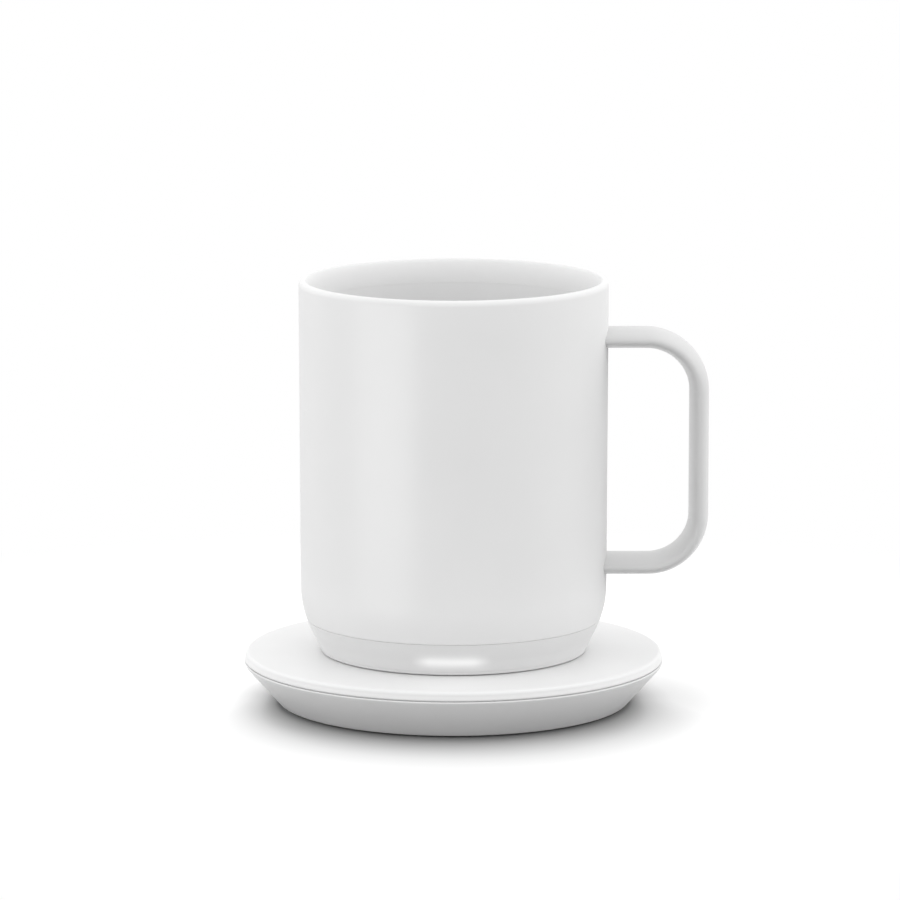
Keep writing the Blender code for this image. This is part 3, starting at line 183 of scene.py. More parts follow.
def dulled_edges(material, extra):
    """Takes the gloss down where the surface turns away, so that no lamp flares on its outline."""
    tree = material.node_tree
    shader = tree.nodes["Principled BSDF"]
    gloss = shader.inputs["Roughness"].links[0].from_socket
    facing = node(tree, "ShaderNodeLayerWeight", (-650, 550))
    rise = combined(tree, "POWER", facing.outputs["Facing"], EDGE_POWER, (-450, 550))
    total = node(tree, "ShaderNodeMath", (-250, 400), operation="MULTIPLY_ADD")
    total.inputs[1].default_value = extra
    tree.links.new(rise, total.inputs[0])
    tree.links.new(gloss, total.inputs[2])
    tree.links.new(total.outputs[0], shader.inputs["Roughness"])
    return material


SHELL_COAT = dulled_edges(coated("shell_coating", grey(0.755), 0.29, bump=0.012), 0.8)
LINER_COAT = coated("liner_coating", grey(0.74), 0.45, bump=0.010)
# The handle has the same white coating as the shell, painted a darker grey as shade for the dimmer
# light on it
SHADED_HANDLE_COAT = coated("handle_coating", grey(0.60), 0.30, bump=0.012)
BAND = coated("band_plastic", grey(0.75), 0.30, bump=0.02, grain_size=1500)
TOP_PLASTIC = coated("coaster_top_plastic", grey(0.77), 0.40, bump=0.02, grain_size=1500)
SIDE_PLASTIC = coated("coaster_side_plastic", grey(0.72), 0.36, bump=0.02, grain_size=1500)
BUTTON = coated("button_plastic", grey(0.66), 0.45, bump=0.03, grain_size=1600)
PAD_RUBBER = coated("pad_rubber", grey(0.30), 0.78, grain=0.6, bump=0.12, grain_size=2200,
                    shade=0.05)
SEAL = coated("seal_rubber", grey(0.04), 0.7, bump=0.08, shade=0.1)
GOLD = coated("gold_plate", (0.86, 0.63, 0.28), 0.24, grain=0.8, bump=0.01, shade=0.03,
              metallic=1.0)
STEEL = coated("steel", (0.56, 0.57, 0.58), 0.30, grain=0.8, bump=0.03, shade=0.04,
               metallic=1.0)
NICKEL = coated("nickel", (0.66, 0.64, 0.60), 0.28, grain=0.8, bump=0.02, shade=0.04,
                metallic=1.0)
BLACK = coated("black_plastic", grey(0.025), 0.45, bump=0.05, shade=0.1)
LAMINATE = coated("board_laminate", (0.015, 0.13, 0.05), 0.38, bump=0.05, shade=0.15, coat=0.3)
CHIP = coated("chip_plastic", grey(0.035), 0.5, bump=0.06, shade=0.1)
EMITTER = coated("emitter_plastic", (0.85, 0.78, 0.45), 0.3, bump=0.01, shade=0.03, coat=0.5)
CARRIER = coated("carrier_plastic", (0.09, 0.09, 0.10), 0.5, bump=0.06, shade=0.08)
WRAP = coated("cell_wrap", (0.04, 0.19, 0.40), 0.32, bump=0.04, shade=0.05, coat=0.3)
FOAM = coated("insulation_foam", (0.78, 0.75, 0.68), 0.9, grain=0.2, bump=0.4, shade=0.05)
FILM = coated("heater_film", (0.70, 0.33, 0.07), 0.35, bump=0.04, shade=0.08, coat=0.4)
RED = coated("red_wire", (0.55, 0.02, 0.02), 0.45, bump=0.02, shade=0.05)
BLACK_WIRE = coated("black_wire", grey(0.02), 0.45, bump=0.02, shade=0.05)


# The slot's light, in millimetres: its middle, the even part and the end to each side, and how
# far it spreads up and down

GLOW_X, GLOW_CORE, GLOW_END = -0.6, 4.8, 11.0
GLOW_Z, GLOW_SPREAD = 17.4, 5.5
GLOW_POWER = 5.0
GLOW_STRENGTH = 0.26


def glowing(material):
    """Adds the slot's soft white light, which fades to its ends and a little past its edges."""
    tree = material.node_tree
    shader = tree.nodes["Principled BSDF"]
    shader.inputs["Emission Color"].default_value = (1.0, 1.0, 1.0, 1.0)
    place = tree.nodes["Texture Coordinate"]
    split = node(tree, "ShaderNodeSeparateXYZ", (-1100, -500))
    tree.links.new(place.outputs["Object"], split.inputs["Vector"])

    def fade(output, middle, core, reach, row):
        """One within core of the middle, falling smoothly to nothing at reach."""
        offset = combined(tree, "SUBTRACT", output, middle * MM, (-900, row))
        distance = node(tree, "ShaderNodeMath", (-700, row), operation="ABSOLUTE")
        tree.links.new(offset, distance.inputs[0])
        return eased(tree, distance.outputs[0], (-500, row), core * MM, reach * MM, 1.0, 0.0)

    front = combined(tree, "LESS_THAN", split.outputs["Y"], 0.0, (-900, -1000))
    along = fade(split.outputs["X"], GLOW_X, GLOW_CORE, GLOW_END, -500)
    across = fade(split.outputs["Z"], GLOW_Z, 0.0, GLOW_SPREAD, -750)
    across = combined(tree, "POWER", across, GLOW_POWER, (-300, -750))
    glow = combined(tree, "MULTIPLY", along, across, (-150, -600))
    glow = combined(tree, "MULTIPLY", glow, front, (0, -600))
    glow = combined(tree, "MULTIPLY", glow, GLOW_STRENGTH, (150, -600))
    tree.links.new(glow, shader.inputs["Emission Strength"])
    return material


WINDOW = glowing(coated("light_window", grey(0.70), 0.30, bump=0.01))
LIT_BAND = glowing(coated("lit_band_plastic", grey(0.70), 0.30, bump=0.02, grain_size=1500))


# Shapes

def finish_mesh(name, mesh, material, body, replaced, sharp=32):
    """Makes a piece of a mesh: shaded, painted, riding on its body and standing for CAD nodes."""
    for polygon in mesh.polygons:
        polygon.use_smooth = True
    mesh.set_sharp_from_angle(angle=math.radians(sharp))
    piece = bpy.data.objects.new(name, mesh)
    bpy.context.scene.collection.objects.link(piece)
    mesh.materials.append(material)
    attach(piece, body)
    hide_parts(*replaced)
    return piece


def mesh_of(name, shape):
    """The mesh of a finished shape, with its faces turned outwards."""
    bmesh.ops.recalc_face_normals(shape, faces=shape.faces)
    mesh = bpy.data.meshes.new(name)
    shape.to_mesh(mesh)
    shape.free()
    return mesh


def lathe_mesh(name, outline, turns=TURNS, closed=True, centre=(0, 0)):
    """A profile of (radius, height) points in millimetres, turned about an upright axis.

    A point on the axis makes a pole. A closed profile is joined from its last point to its first.
    """
    shape = bmesh.new()
    rings = []
    for radius, height in outline:
        if radius < 1e-6:
            rings.append([shape.verts.new((centre[0] * MM, centre[1] * MM, height * MM))])
            continue
        ring = []
        for i in range(turns):
            angle = math.tau * i / turns
            x = centre[0] + radius * math.cos(angle)
            y = centre[1] + radius * math.sin(angle)
            ring.append(shape.verts.new((x * MM, y * MM, height * MM)))
        rings.append(ring)
    pairs = list(zip(rings, rings[1:]))
    if closed:
        pairs.append((rings[-1], rings[0]))
    for upper, lower in pairs:
        if len(upper) == 1 and len(lower) == 1:
            continue
        for i in range(turns):
            j = (i + 1) % turns
            corners = []
            for ring, indices in ((upper, (i, j)), (lower, (j, i))):
                if len(ring) == 1:
                    corners.append(ring[0])
                else:
                    corners.extend(ring[k] for k in indices)
            shape.faces.new(corners)
    return mesh_of(name, shape)


def turned(name, outline, material, body, replaced, closed=True):
    """A piece that is a turned outline and nothing more."""
    mesh = lathe_mesh(name, outline, TURNS, closed)
    return finish_mesh(name, mesh, material, body, replaced)


def tube_mesh(name, rings):
    """A skin over rings of points in millimetres, with a face over either end."""
    shape = bmesh.new()
    rings = [[shape.verts.new([value * MM for value in point]) for point in ring] for ring in rings]
    for first, second in zip(rings, rings[1:]):
        for i in range(len(first)):
            j = (i + 1) % len(first)
            shape.faces.new((first[i], first[j], second[j], second[i]))
    shape.faces.new(list(reversed(rings[0])))
    shape.faces.new(rings[-1])
    return mesh_of(name, shape)


def arc(centre, radii, start, end, steps):
    """Points of an elliptical arc between two angles in degrees."""
    points = []
    for i in range(steps + 1):
        angle = math.radians(start + (end - start) * i / steps)
        x = centre[0] + radii[0] * math.cos(angle)
        y = centre[1] + radii[1] * math.sin(angle)
        points.append((x, y))
    return points


def rounded(points, radii, steps=5):
    """A closed outline with a round of its own radius at each corner, or none where that is 0."""
    route = []
    count = len(points)
    for i, radius in enumerate(radii):
        corner = Vector(points[i])
        if radius == 0:
            route.append(tuple(corner))
            continue
        before = (Vector(points[i - 1]) - corner).normalized()
        after = (Vector(points[(i + 1) % count]) - corner).normalized()
        half = before.angle(after) / 2
        reach = radius / math.tan(half)
        middle = corner + (before + after).normalized() * radius / math.sin(half)
        first, last = corner + before * reach - middle, corner + after * reach - middle
        sweep = first.angle_signed(last)
        for k in range(steps + 1):
            turn = Matrix.Rotation(-sweep * k / steps, 2)
            route.append(tuple(middle + turn @ first))
    return route


def cut_with(mesh, cutter, operation="DIFFERENCE"):
    """The mesh with another mesh cut out of it, or kept where they meet."""
    scene = bpy.context.scene.collection.objects
    target = bpy.data.objects.new("cut_target", mesh)
    tool = bpy.data.objects.new("cut_tool", cutter)
    scene.link(target)
    scene.link(tool)
    modifier = target.modifiers.new("cut", "BOOLEAN")
    modifier.operation, modifier.solver, modifier.object = operation, "EXACT", tool
    bpy.context.view_layer.update()
    evaluated = target.evaluated_get(bpy.context.evaluated_depsgraph_get())
    made = bpy.data.meshes.new_from_object(evaluated)
    bpy.data.objects.remove(target)
    bpy.data.objects.remove(tool)
    shape = bmesh.new()
    shape.from_mesh(made)
    bmesh.ops.remove_doubles(shape, verts=shape.verts, dist=WELD * MM)
    shape.to_mesh(made)
    shape.free()
    return made


def prism_mesh(name, outline, start, end):
    """An outline of (x, z) points in millimetres run along Y between two depths."""
    shape = bmesh.new()
    near = [shape.verts.new((x * MM, start * MM, z * MM)) for x, z in outline]
    far = [shape.verts.new((x * MM, end * MM, z * MM)) for x, z in outline]
    shape.faces.new(near)
    shape.faces.new(list(reversed(far)))
    for i in range(len(outline)):
        j = (i + 1) % len(outline)
        shape.faces.new((near[j], near[i], far[i], far[j]))
    return mesh_of(name, shape)


def coil_mesh(name, centre, radius, wire, low, high, turns, steps=28, section=10):
    """A round wire wound into an open spring, its middle line climbing from low to high."""
    rings = []
    for i in range(turns * steps + 1):
        angle = math.tau * i / steps
        height = low + (high - low) * i / (turns * steps)
        ring = []
        for k in range(section):
            turn = math.tau * k / section
            out = radius + wire * math.cos(turn)
            x, y = centre[0] + out * math.cos(angle), centre[1] + out * math.sin(angle)
            ring.append((x, y, height + wire * math.sin(turn)))
        rings.append(ring)
    return tube_mesh(name, rings)


# Sizes of the mug, in millimetres, heights over the table

MUG_Z = 13.8
SEAM_Z = 22.3
SEAM_HALF = 0.02
LINER_TOP = 104.5
RIM_Z = 110.8
SHELL_WALL = 0.8
RING_INNER, RING_OUTER = 7.25, 12.25

# The mug's outline: nearly upright above, a round below it and a short slant at the foot. Each
# starts at a rise over the foot. The upright part and the slant widen over a height, and the
# round has a radius about a middle.
WALL_RISE, WALL_RADIUS, WALL_WIDENING, WALL_HEIGHT = 17, 39.72, 0.28, 79.7
ROUND_RISE, ROUND_MIDDLE, ROUND_RADIUS = 3.7, 13.72, 26
SLANT_RISE, SLANT_RADIUS, SLANT_END, SLANT_HEIGHT = 0.3, 34.65, 36.055, 3.4


def mug_radius(z):
    rise = z - MUG_Z
    if rise >= WALL_RISE:
        return WALL_RADIUS + WALL_WIDENING * (rise - WALL_RISE) / WALL_HEIGHT
    if rise >= ROUND_RISE:
        return ROUND_MIDDLE + math.sqrt(ROUND_RADIUS**2 - (WALL_RISE - rise) ** 2)
    return SLANT_RADIUS + (SLANT_END - SLANT_RADIUS) * (rise - SLANT_RISE) / SLANT_HEIGHT


def side(top, bottom, steps):
    """Points down the mug's wall from one height to another."""
    heights = [top + (bottom - top) * i / steps for i in range(steps + 1)]
    return [(mug_radius(z), z) for z in heights]


# Mug shell with its rim, and the liner

seam_top = SEAM_Z + SEAM_HALF
outline = arc((38.7, RIM_Z - 1.6), (1.3, 1.6), 90, 0, 12)
outline += side(100, 31, 12)
outline += side(30.6, seam_top + 0.12, 22)
edge = mug_radius(seam_top)
outline += [(edge - 0.01, seam_top + 0.05), (edge - 0.05, seam_top + 0.01), (edge - 0.1, seam_top)]
outline += [(mug_radius(22.5) - SHELL_WALL, seam_top)]
outline += [(mug_radius(z) - SHELL_WALL, z) for z in (24.5, 27, 30.6, 60, LINER_TOP)]
outline += arc((38.7, LINER_TOP), (1.5, RIM_Z - LINER_TOP), 180, 90, 16)[:-1]
mug_shell = turned("mug_shell", outline, SHELL_COAT, "mug", ["outer_shell"])

outline = [(0, 40.6)] + arc((31.2, 46.6), (6.0, 6.0), -90, 0, 14)
outline += [(37.2, 70), (37.2, LINER_TOP - 0.02), (37.9, LINER_TOP - 0.02), (37.9, 60)]
outline += arc((31.2, 46.5), (6.7, 6.7), 0, -90, 10) + [(0, 39.8)]
turned("mug_liner", outline, LINER_COAT, "mug", ["inner_liner"], closed=False)


# Handle: an oval strap along a D loop, each end shaped to the mug's wall

STRAP_Y, STRAP_T = 8.75, 2.55
UPPER_Z, LOWER_Z, GRIP_X = 95.67, 36.39, 63.5
UPPER_CORNER, LOWER_CORNER = 13.8, 13.2
WALL_GAP = 0.02
ARM_STEPS, BEND_STEPS, GRIP_STEPS, OVAL_STEPS = 8, 24, 12, 56


def handle_mesh():
    """The oval carried out from the wall, round both bends and back to the wall.

    Each station is an angle round a bend, or none on an arm, with the arm's share of the way
    from the wall to its bend, a height and the bend's radius.
    """
    bend_top, bend_bottom = UPPER_Z - UPPER_CORNER, LOWER_Z + LOWER_CORNER
    stations = [(None, i / ARM_STEPS, UPPER_Z, UPPER_CORNER) for i in range(ARM_STEPS + 1)]
    for i in range(1, BEND_STEPS + 1):
        stations.append((math.radians(90 - 90 * i / BEND_STEPS), None, bend_top, UPPER_CORNER))
    for i in range(1, GRIP_STEPS):
        height = bend_top + (bend_bottom - bend_top) * i / GRIP_STEPS
        stations.append((0.0, None, height, UPPER_CORNER))
    for i in range(BEND_STEPS):
        stations.append((math.radians(-90 * i / BEND_STEPS), None, bend_bottom, LOWER_CORNER))
    stations += [(None, 1 - i / ARM_STEPS, LOWER_Z, LOWER_CORNER) for i in range(ARM_STEPS + 1)]
    rings = []
    for angle, share, z, corner in stations:
        middle = GRIP_X - corner
        ring = []
        for k in range(OVAL_STEPS):
            turn = math.tau * k / OVAL_STEPS
            across, out = STRAP_Y * math.cos(turn), STRAP_T * math.sin(turn)
            if angle is None:
                up = 1 if z == UPPER_Z else -1
                height = z + up * out
                wall = math.sqrt((mug_radius(height) + WALL_GAP) ** 2 - across**2)
                ring.append((wall + (middle - wall) * share, across, height))
            else:
                radius = corner + out
                x, height = middle + radius * math.cos(angle), z + radius * math.sin(angle)
                ring.append((x, across, height))
        rings.append(ring)
    return tube_mesh("mug_handle", rings)


finish_mesh("mug_handle", handle_mesh(), SHADED_HANDLE_COAT, "mug", ["handle"], sharp=60)


# Base band with its light slot, and the lit window in it: length, height and middle of each

SLOT = (21.8, 2.4, 17.5)
PANE = (21.78, 2.38, 17.5)


def band_outline():
    top = SEAM_Z - SEAM_HALF
    edge = mug_radius(top)
    outline = [(edge - 0.2, top), (edge - 0.08, top - 0.02), (edge - 0.01, top - 0.1)]
    outline += side(top - 0.25, 17.5, 10)
    outline += side(17.0, 14.7, 3)
    outline += arc((34.2, 14.65), (0.48, 0.93), 0, -90, 10)
    return outline


def pill(length, height, middle, steps=12):
    reach, radius = (length - height) / 2, height / 2
    right = arc((reach, middle), (radius, radius), -90, 90, steps)
    left = arc((-reach, middle), (radius, radius), 90, 270, steps)
    return right + left


outline = band_outline()
outline += [(33.3, 13.72), (33.3, 16.6), (31.4, 16.6), (31.4, 17.4), (34.9, 19.2), (34.9, 20.5)]
outline += [(34.9, 22.0), (36.04, 22.0), (36.04, 24.3), (37.2, 24.3), (37.2, 22.28)]
band = lathe_mesh("mug_base_band", outline)
band = cut_with(band, prism_mesh("slot", pill(*SLOT), -31, -42))
finish_mesh("mug_base_band", band, LIT_BAND, "mug", ["base_band"])

outline = band_outline() + [(33.4, 13.72), (33.4, 22.28)]
window = lathe_mesh("mug_light_window", outline)
window = cut_with(window, prism_mesh("pane", pill(*PANE), -31.2, -42), "INTERSECT")
finish_mesh("mug_light_window", window, WINDOW, "mug", ["light_window"])


# Underside of the mug

def ring_groove(middle, width, ceiling):
    outer, inner = middle + width / 2 + 0.1, middle - width / 2 - 0.1
    return [(outer, 14.4), (outer, ceiling), (inner, ceiling), (inner, 14.4)]


outline = [(31.1, 16.0), (31.1, 15.4), (33.0, 15.4), (33.2, 15.2), (33.2, 14.55), (33.05, 14.4)]
outline += ring_groove(28, 4, 15.1)
outline += ring_groove(RING_OUTER, 2.2, 15.05) + ring_groove(RING_INNER, 2.2, 15.05)
outline += [(4.75, 14.4), (4.62, 14.45), (4.5, 14.6), (4.5, 16.0)]
turned("mug_base_cover", outline, BAND, "mug", ["base_cover"])

outline = rounded([(30, 14.8), (30, 13.8), (26, 13.8), (26, 14.8)], [0, 0.35, 0.35, 0])
turned("mug_foot_ring", outline, PAD_RUBBER, "mug", ["foot_ring"])

for name, middle in (("inner", RING_INNER), ("outer", RING_OUTER)):
    outer, inner = middle + 1.1, middle - 1.1
    corners = [(outer, 15.0), (outer, 14.5), (inner, 14.5), (inner, 15.0)]
    outline = rounded(corners, [0, 0.12, 0.12, 0], 3)
    turned("mug_contact_ring_" + name, outline, GOLD, "mug", ["contact_ring_" + name])

outline = [(0, 16.9), (5.4, 16.9), (5.4, 16.3), (4.2, 16.3)]
outline += arc((3.9, 15.0), (0.3, 0.3), 0, -90, 6)
outline += [(3.2, 14.72), (2.2, 14.8), (1.1, 14.88), (0, 14.9)]
button = lathe_mesh("mug_power_button", outline, SMALL_TURNS, closed=False)
finish_mesh("mug_power_button", button, BUTTON, "button", ["power_button"])


# Coaster, with its pins under the mug's contact rings, one to the right and one to the left

PINS = (("inner", RING_INNER), ("outer", -RING_OUTER))
JACK_Y, JACK_Z = 46.4, 7

outline = [(0, 13.5), (30, 13.5)] + arc((53.1, 12.5), (1.0, 1.0), 90, 0, 10)
outline += [(54.16, 12.2), (54.3, 11.8)] + arc((54.25, 11.45), (0.13, 0.13), 0, -90, 4)
outline += [(54.02, 11.32), (54.0, 11.1), (52.5, 11.1), (52.5, 11.7), (0, 11.7)]
cover = lathe_mesh("coaster_cover", outline, closed=False)
for name, x in PINS:
    outline = [(0, 15), (2.0, 15), (2.0, 10), (0, 10)]
    cover = cut_with(cover, lathe_mesh("pin_hole", outline, SMALL_TURNS, False, (x, 0)))
finish_mesh(
    "coaster_cover", cover, TOP_PLASTIC, "coaster", ["coaster_top_cover"]
)

outline = [(50, 11.0), (54.2, 11.0)] + arc((54.2, 10.75), (0.3, 0.25), 90, -30, 6)
outline += [(54.2, 10.1), (50.0, 5.35)] + arc((44.95, 1.5), (1.2, 1.2), -41.6, -90, 8)
outline += [(43.7, 0.3), (43.7, 1.2), (0, 1.2), (0, 3.0), (45.6, 3.0), (52.2, 10.3)]
outline += [(52.2, 10.8)]
shell = lathe_mesh("coaster_shell", outline)
pocket = lathe_mesh("pocket", [(0, 0), (3.4, 0), (3.4, 14), (0, 14)], SMALL_TURNS, closed=False)
pocket.transform(Matrix.Rotation(-math.pi / 2, 4, "X"))
pocket.transform(Matrix.Translation(Vector((0, JACK_Y, JACK_Z)) * MM))
shell = cut_with(shell, pocket)
finish_mesh(
    "coaster_shell", shell, SIDE_PLASTIC, "coaster", ["coaster_lower_shell"],
)

outline = [(0, 0.9), (43.5, 0.9)] + arc((43.2, 0.3), (0.3, 0.3), 0, -90, 5) + [(0, 0)]
turned(
    "coaster_pad", outline, PAD_RUBBER, "coaster", ["coaster_foot_pad"],
    closed=False,
)

for name, x in PINS:
    outline = [(0, 14.2)] + arc((0, 13.55), (0.9, 0.65), 80, 0, 8)
    outline += [(0.9, 9.3), (1.5, 9.3), (1.5, 8.5), (0, 8.5)]
    pin = lathe_mesh("coaster_pin_" + name, outline, SMALL_TURNS, False, (x, 0))
    finish_mesh(
        "coaster_pin_" + name, pin, GOLD, "pin_" + name, ["contact_pin_" + name]
    )
    coil = coil_mesh(
        "coaster_spring_" + name, (x, 0), radius=1.35, wire=0.15, low=4.75, high=8.05, turns=4
    )
    spring = finish_mesh(
        "coaster_spring_" + name, coil, STEEL, "coaster", ["pin_spring_" + name], sharp=60
    )
    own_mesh(spring)


# CAD pieces that keep their shape

KEPT = {
    STEEL: ["coaster_screw_1", "coaster_screw_2", "coaster_screw_3",
            "base_screw_1", "base_screw_2", "base_screw_3",
            "handle_stud_upper", "handle_stud_lower", "power_switch", "inlet_pin"],
    LAMINATE: ["coaster_board", "main_board"],
    CHIP: ["coaster_controller", "coaster_coil", "processor_chip", "charger_chip", "power_coil",
           "temperature_sensor_1", "temperature_sensor_2"],
    NICKEL: ["coaster_capacitor", "radio_module", "cell_link"],
    BLACK: ["pin_block", "inlet_jack", "switch_plunger"],
    EMITTER: ["light_emitter_1", "light_emitter_2"],
    CARRIER: ["battery_carrier"],
    WRAP: ["battery_cell_1", "battery_cell_2"],
    SEAL: ["cover_seal"],
    FOAM: ["insulation_disc"],
    FILM: ["heater_disc"],
    RED: ["battery_wire_1", "heater_wire_1"],
    BLACK_WIRE: ["battery_wire_2", "heater_wire_2"],
}
for material, names in KEPT.items():
    for name in names:
        kept = frame["nodes"][name]
        kept.data.materials.clear()
        kept.data.materials.append(material)


# Floor, world and lamps, in metres

FLOOR_COLOUR = 0.42
FLOOR_RADIUS, FLOOR_Z = 6.0, -0.0001

# The shadow painted into the floor's seen colour round the coaster's foot: how far it reaches in
# front, the share of that at the sides and behind, and its steps, each a distance from the foot in
# reaches and a tone
FOOT_RADIUS = 0.0458
PAINTED_SHADOW_REACH = 0.0242
SHADOW_SIDE_SHARE = 0.13
AHEAD_POWER = 1.5
SHADOW_SPAN = 3.5
PAINTED_SHADOW_STEPS = [
    (0.0, 0.26), (0.09, 0.32), (0.17, 0.385), (0.26, 0.445), (0.5, 0.53), (0.7, 0.605), (1.0, 0.72),
    (1.2, 0.765), (1.5, 0.82), (2.0, 0.88), (2.5, 0.935), (3.5, 1.0),
]

# A faint further painted shadow at the right, and where the floor turns plain white, both by the
# distance from the coaster's middle
PAINTED_RIGHT_SHADE = 0.16
RIGHT_POWER = 3.0
RIGHT_START, RIGHT_END = 0.060, 0.085
WHITE_START, WHITE_END = 0.10, 0.24

# The light from the right, left, back, front and top: axis, direction and level
SKY = [("X", 1.0, 1.66), ("X", -1.0, 1.16), ("Y", 1.0, 1.42), ("Y", -1.0, 1.15), ("Z", 1.0, 1.17)]
SKY_POWER = 2.0
LAMP_TARGET = Vector((0, 0, 0.06))


def seen_directly(tree):
    """One where a ray shows the surroundings, straight, in a reflection or through glass."""
    path = node(tree, "ShaderNodeLightPath", (-1000, 600)).outputs
    either = combined(
        tree, "MAXIMUM", path["Is Camera Ray"], path["Is Glossy Ray"], (-800, 600)
    )
    return combined(tree, "MAXIMUM", either, path["Is Transmission Ray"], (-600, 600))


def floor_material():
    """White table with the object's real shadow, and a soft contact shadow painted into its colour
    round the coaster, wider in front.

    The painted shadow, and the plain white away from it, are only what is seen of the floor. What
    the floor throws back on the object is an even grey.
    """
    material = bpy.data.materials.new("floor")
    material.use_nodes = True
    tree = material.node_tree
    tree.nodes.clear()
    links = tree.links
    out = node(tree, "ShaderNodeOutputMaterial", (1200, 0))
    own = node(tree, "ShaderNodeBsdfDiffuse", (500, 150))
    own.inputs["Color"].default_value = (*grey(FLOOR_COLOUR), 1)
    seen = node(tree, "ShaderNodeBsdfDiffuse", (500, -50))
    plain = node(tree, "ShaderNodeEmission", (500, -250))
    place = node(tree, "ShaderNodeTexCoord", (-1300, -200))
    length = node(tree, "ShaderNodeVectorMath", (-1100, -200), operation="LENGTH")
    direction = node(tree, "ShaderNodeVectorMath", (-1100, -450), operation="NORMALIZE")
    axes = node(tree, "ShaderNodeSeparateXYZ", (-900, -450))
    links.new(place.outputs["Object"], length.inputs[0])
    links.new(place.outputs["Object"], direction.inputs[0])
    links.new(direction.outputs["Vector"], axes.inputs[0])
    distance = length.outputs["Value"]

    def value(operation, first, second, column):
        return combined(tree, operation, first, second, (column, -450))

    ahead = value("MULTIPLY", axes.outputs["Y"], -1.0, -750)
    ahead = value("MAXIMUM", ahead, 0.0, -600)
    ahead = value("POWER", ahead, AHEAD_POWER, -450)
    reach = value("MULTIPLY", ahead, PAINTED_SHADOW_REACH * (1 - SHADOW_SIDE_SHARE), -300)
    reach = value("ADD", reach, PAINTED_SHADOW_REACH * SHADOW_SIDE_SHARE, -150)
    beyond = value("SUBTRACT", distance, FOOT_RADIUS, 0)
    beyond = value("DIVIDE", beyond, reach, 150)
    share = value("DIVIDE", beyond, SHADOW_SPAN, 300)
    # Painted shadow: the seen colour darkened in steps round the coaster's foot, most in front
    shade = node(tree, "ShaderNodeValToRGB", (150, -650))
    ramp = shade.color_ramp
    while len(ramp.elements) < len(PAINTED_SHADOW_STEPS):
        ramp.elements.new(0.5)
    for element, (step, tone) in zip(ramp.elements, PAINTED_SHADOW_STEPS):
        element.position = step / SHADOW_SPAN
        element.color = (*grey(tone), 1)
    links.new(share, shade.inputs["Fac"])

    # Painted shadow: a faint further darkening of the floor's seen colour to the right of the
    # coaster
    aside = value("MAXIMUM", axes.outputs["X"], 0.0, -750)
    aside = value("POWER", aside, RIGHT_POWER, -600)
    near = eased(tree, distance, (-450, -900), RIGHT_START, RIGHT_END, PAINTED_RIGHT_SHADE, 0.0)
    aside = value("MULTIPLY", aside, near, -300)
    kept = node(tree, "ShaderNodeMath", (-150, -900), operation="SUBTRACT")
    kept.inputs[0].default_value = 1.0
    links.new(aside, kept.inputs[1])
    tone = node(tree, "ShaderNodeVectorMath", (350, -650), operation="SCALE")
    links.new(shade.outputs["Color"], tone.inputs[0])
    links.new(kept.outputs[0], tone.inputs["Scale"])
    links.new(tone.outputs["Vector"], seen.inputs["Color"])

    backdrop = node(tree, "ShaderNodeMixShader", (750, -100))
    mix = node(tree, "ShaderNodeMixShader", (1000, 0))
    fade = eased(tree, distance, (500, -450), WHITE_START, WHITE_END)
    links.new(fade, backdrop.inputs["Fac"])
    links.new(seen.outputs["BSDF"], backdrop.inputs[1])
    links.new(plain.outputs["Emission"], backdrop.inputs[2])
    links.new(seen_directly(tree), mix.inputs["Fac"])
    links.new(own.outputs["BSDF"], mix.inputs[1])
    links.new(backdrop.outputs["Shader"], mix.inputs[2])
    links.new(mix.outputs["Shader"], out.inputs["Surface"])
    return material


floor_mesh = bpy.data.meshes.new("floor")
floor_shape = bmesh.new()
bmesh.ops.create_circle(floor_shape, cap_ends=True, segments=96, radius=FLOOR_RADIUS)
floor_shape.to_mesh(floor_mesh)
floor_shape.free()
floor = bpy.data.objects.new("floor", floor_mesh)
floor.location = (0, 0, FLOOR_Z)
bpy.context.scene.collection.objects.link(floor)
floor_mesh.materials.append(floor_material())


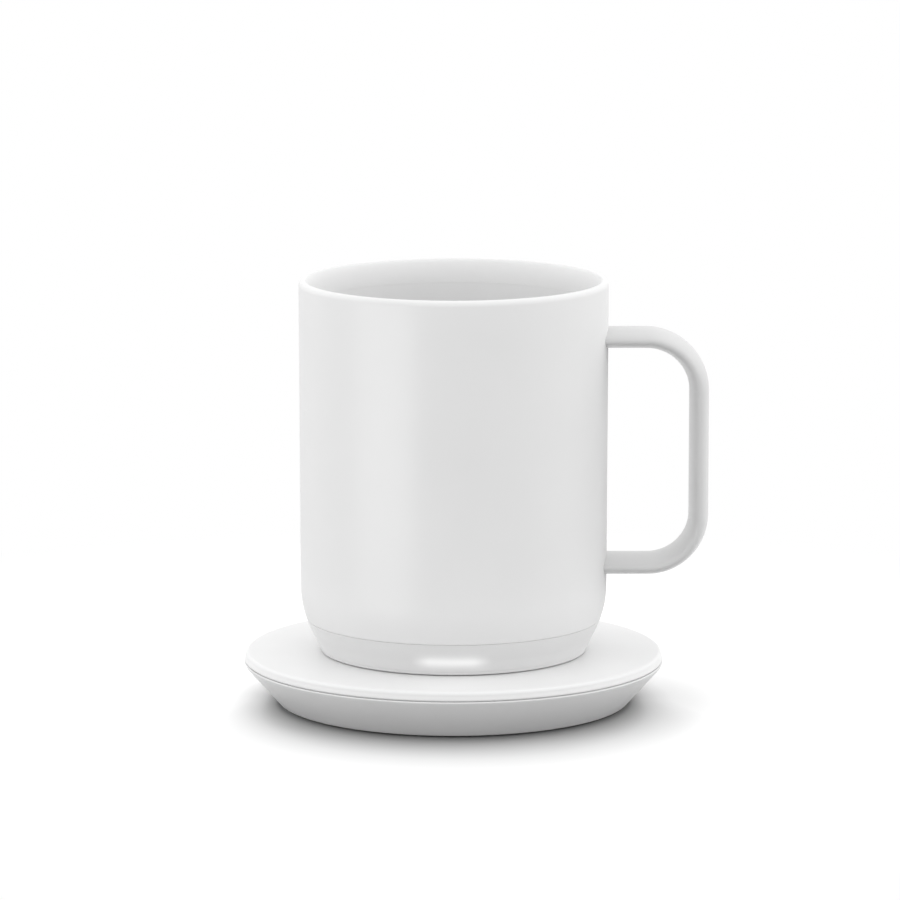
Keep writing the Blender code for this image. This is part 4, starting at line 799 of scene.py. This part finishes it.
def soft_room():
    """A pale room of soft light, with a level of its own for each side, and white to look at."""
    world = bpy.data.worlds.new("world")
    world.use_nodes = True
    sky = world.node_tree
    sky.nodes.clear()
    out = node(sky, "ShaderNodeOutputWorld", (900, 0))
    mix = node(sky, "ShaderNodeMixShader", (700, 0))
    fill = node(sky, "ShaderNodeBackground", (400, 100))
    fill.inputs["Color"].default_value = (1, 1, 1, 1)
    white = node(sky, "ShaderNodeBackground", (400, -100))
    white.inputs["Color"].default_value = (1, 1, 1, 1)
    white.inputs["Strength"].default_value = 1.0
    direction = node(sky, "ShaderNodeTexCoord", (-1000, 200))
    axes = node(sky, "ShaderNodeSeparateXYZ", (-800, 200))
    sky.links.new(direction.outputs["Generated"], axes.inputs[0])
    total = None
    for row, (axis, sign, level) in enumerate(SKY):
        height = -150 * row
        share = combined(sky, "MULTIPLY", axes.outputs[axis], sign, (-600, height))
        share = combined(sky, "MAXIMUM", share, 0.0, (-450, height))
        share = combined(sky, "POWER", share, SKY_POWER, (-300, height))
        share = combined(sky, "MULTIPLY", share, level, (-150, height))
        total = share if total is None else combined(sky, "ADD", total, share, (50, height))
    sky.links.new(total, fill.inputs["Strength"])
    sky.links.new(seen_directly(sky), mix.inputs["Fac"])
    sky.links.new(fill.outputs[0], mix.inputs[1])
    sky.links.new(white.outputs[0], mix.inputs[2])
    sky.links.new(mix.outputs[0], out.inputs["Surface"])
    return world


bpy.context.scene.world = soft_room()


def softbox(name, azimuth, height, distance, size, power, gloss_on=None):
    """An area lamp at an azimuth in degrees from the front, towards the right.

    It is soft light on everything, or only a sheen on the one piece in gloss_on.
    """
    lamp = bpy.data.lights.new(name, "AREA")
    lamp.shape = "RECTANGLE"
    lamp.size, lamp.size_y = size
    lamp.energy = power
    lamp_object = bpy.data.objects.new(name, lamp)
    angle = math.radians(azimuth)
    lamp_object.location = (distance * math.sin(angle), -distance * math.cos(angle), height)
    aim = LAMP_TARGET - lamp_object.location
    lamp_object.rotation_euler = aim.to_track_quat("-Z", "Y").to_euler()
    lamp_object.visible_camera = False
    lamp_object.visible_glossy = gloss_on is not None
    if gloss_on:
        shining = bpy.data.collections.new(name)
        shining.objects.link(gloss_on)
        lamp_object.light_linking.receiver_collection = shining
        lamp_object.visible_diffuse = False
    bpy.context.scene.collection.objects.link(lamp_object)


softbox("gloss_left", azimuth=-49, height=0.055, distance=0.20, size=(0.16, 0.11), power=0.095,
        gloss_on=mug_shell)
softbox("key_left", azimuth=-64, height=0.25, distance=0.9, size=(0.8, 0.9), power=1.55)
softbox("edge_left", azimuth=-122, height=0.15, distance=0.9, size=(0.3, 0.9), power=1.1)
softbox("edge_right", azimuth=108, height=0.25, distance=0.9, size=(0.6, 0.9), power=1.3)
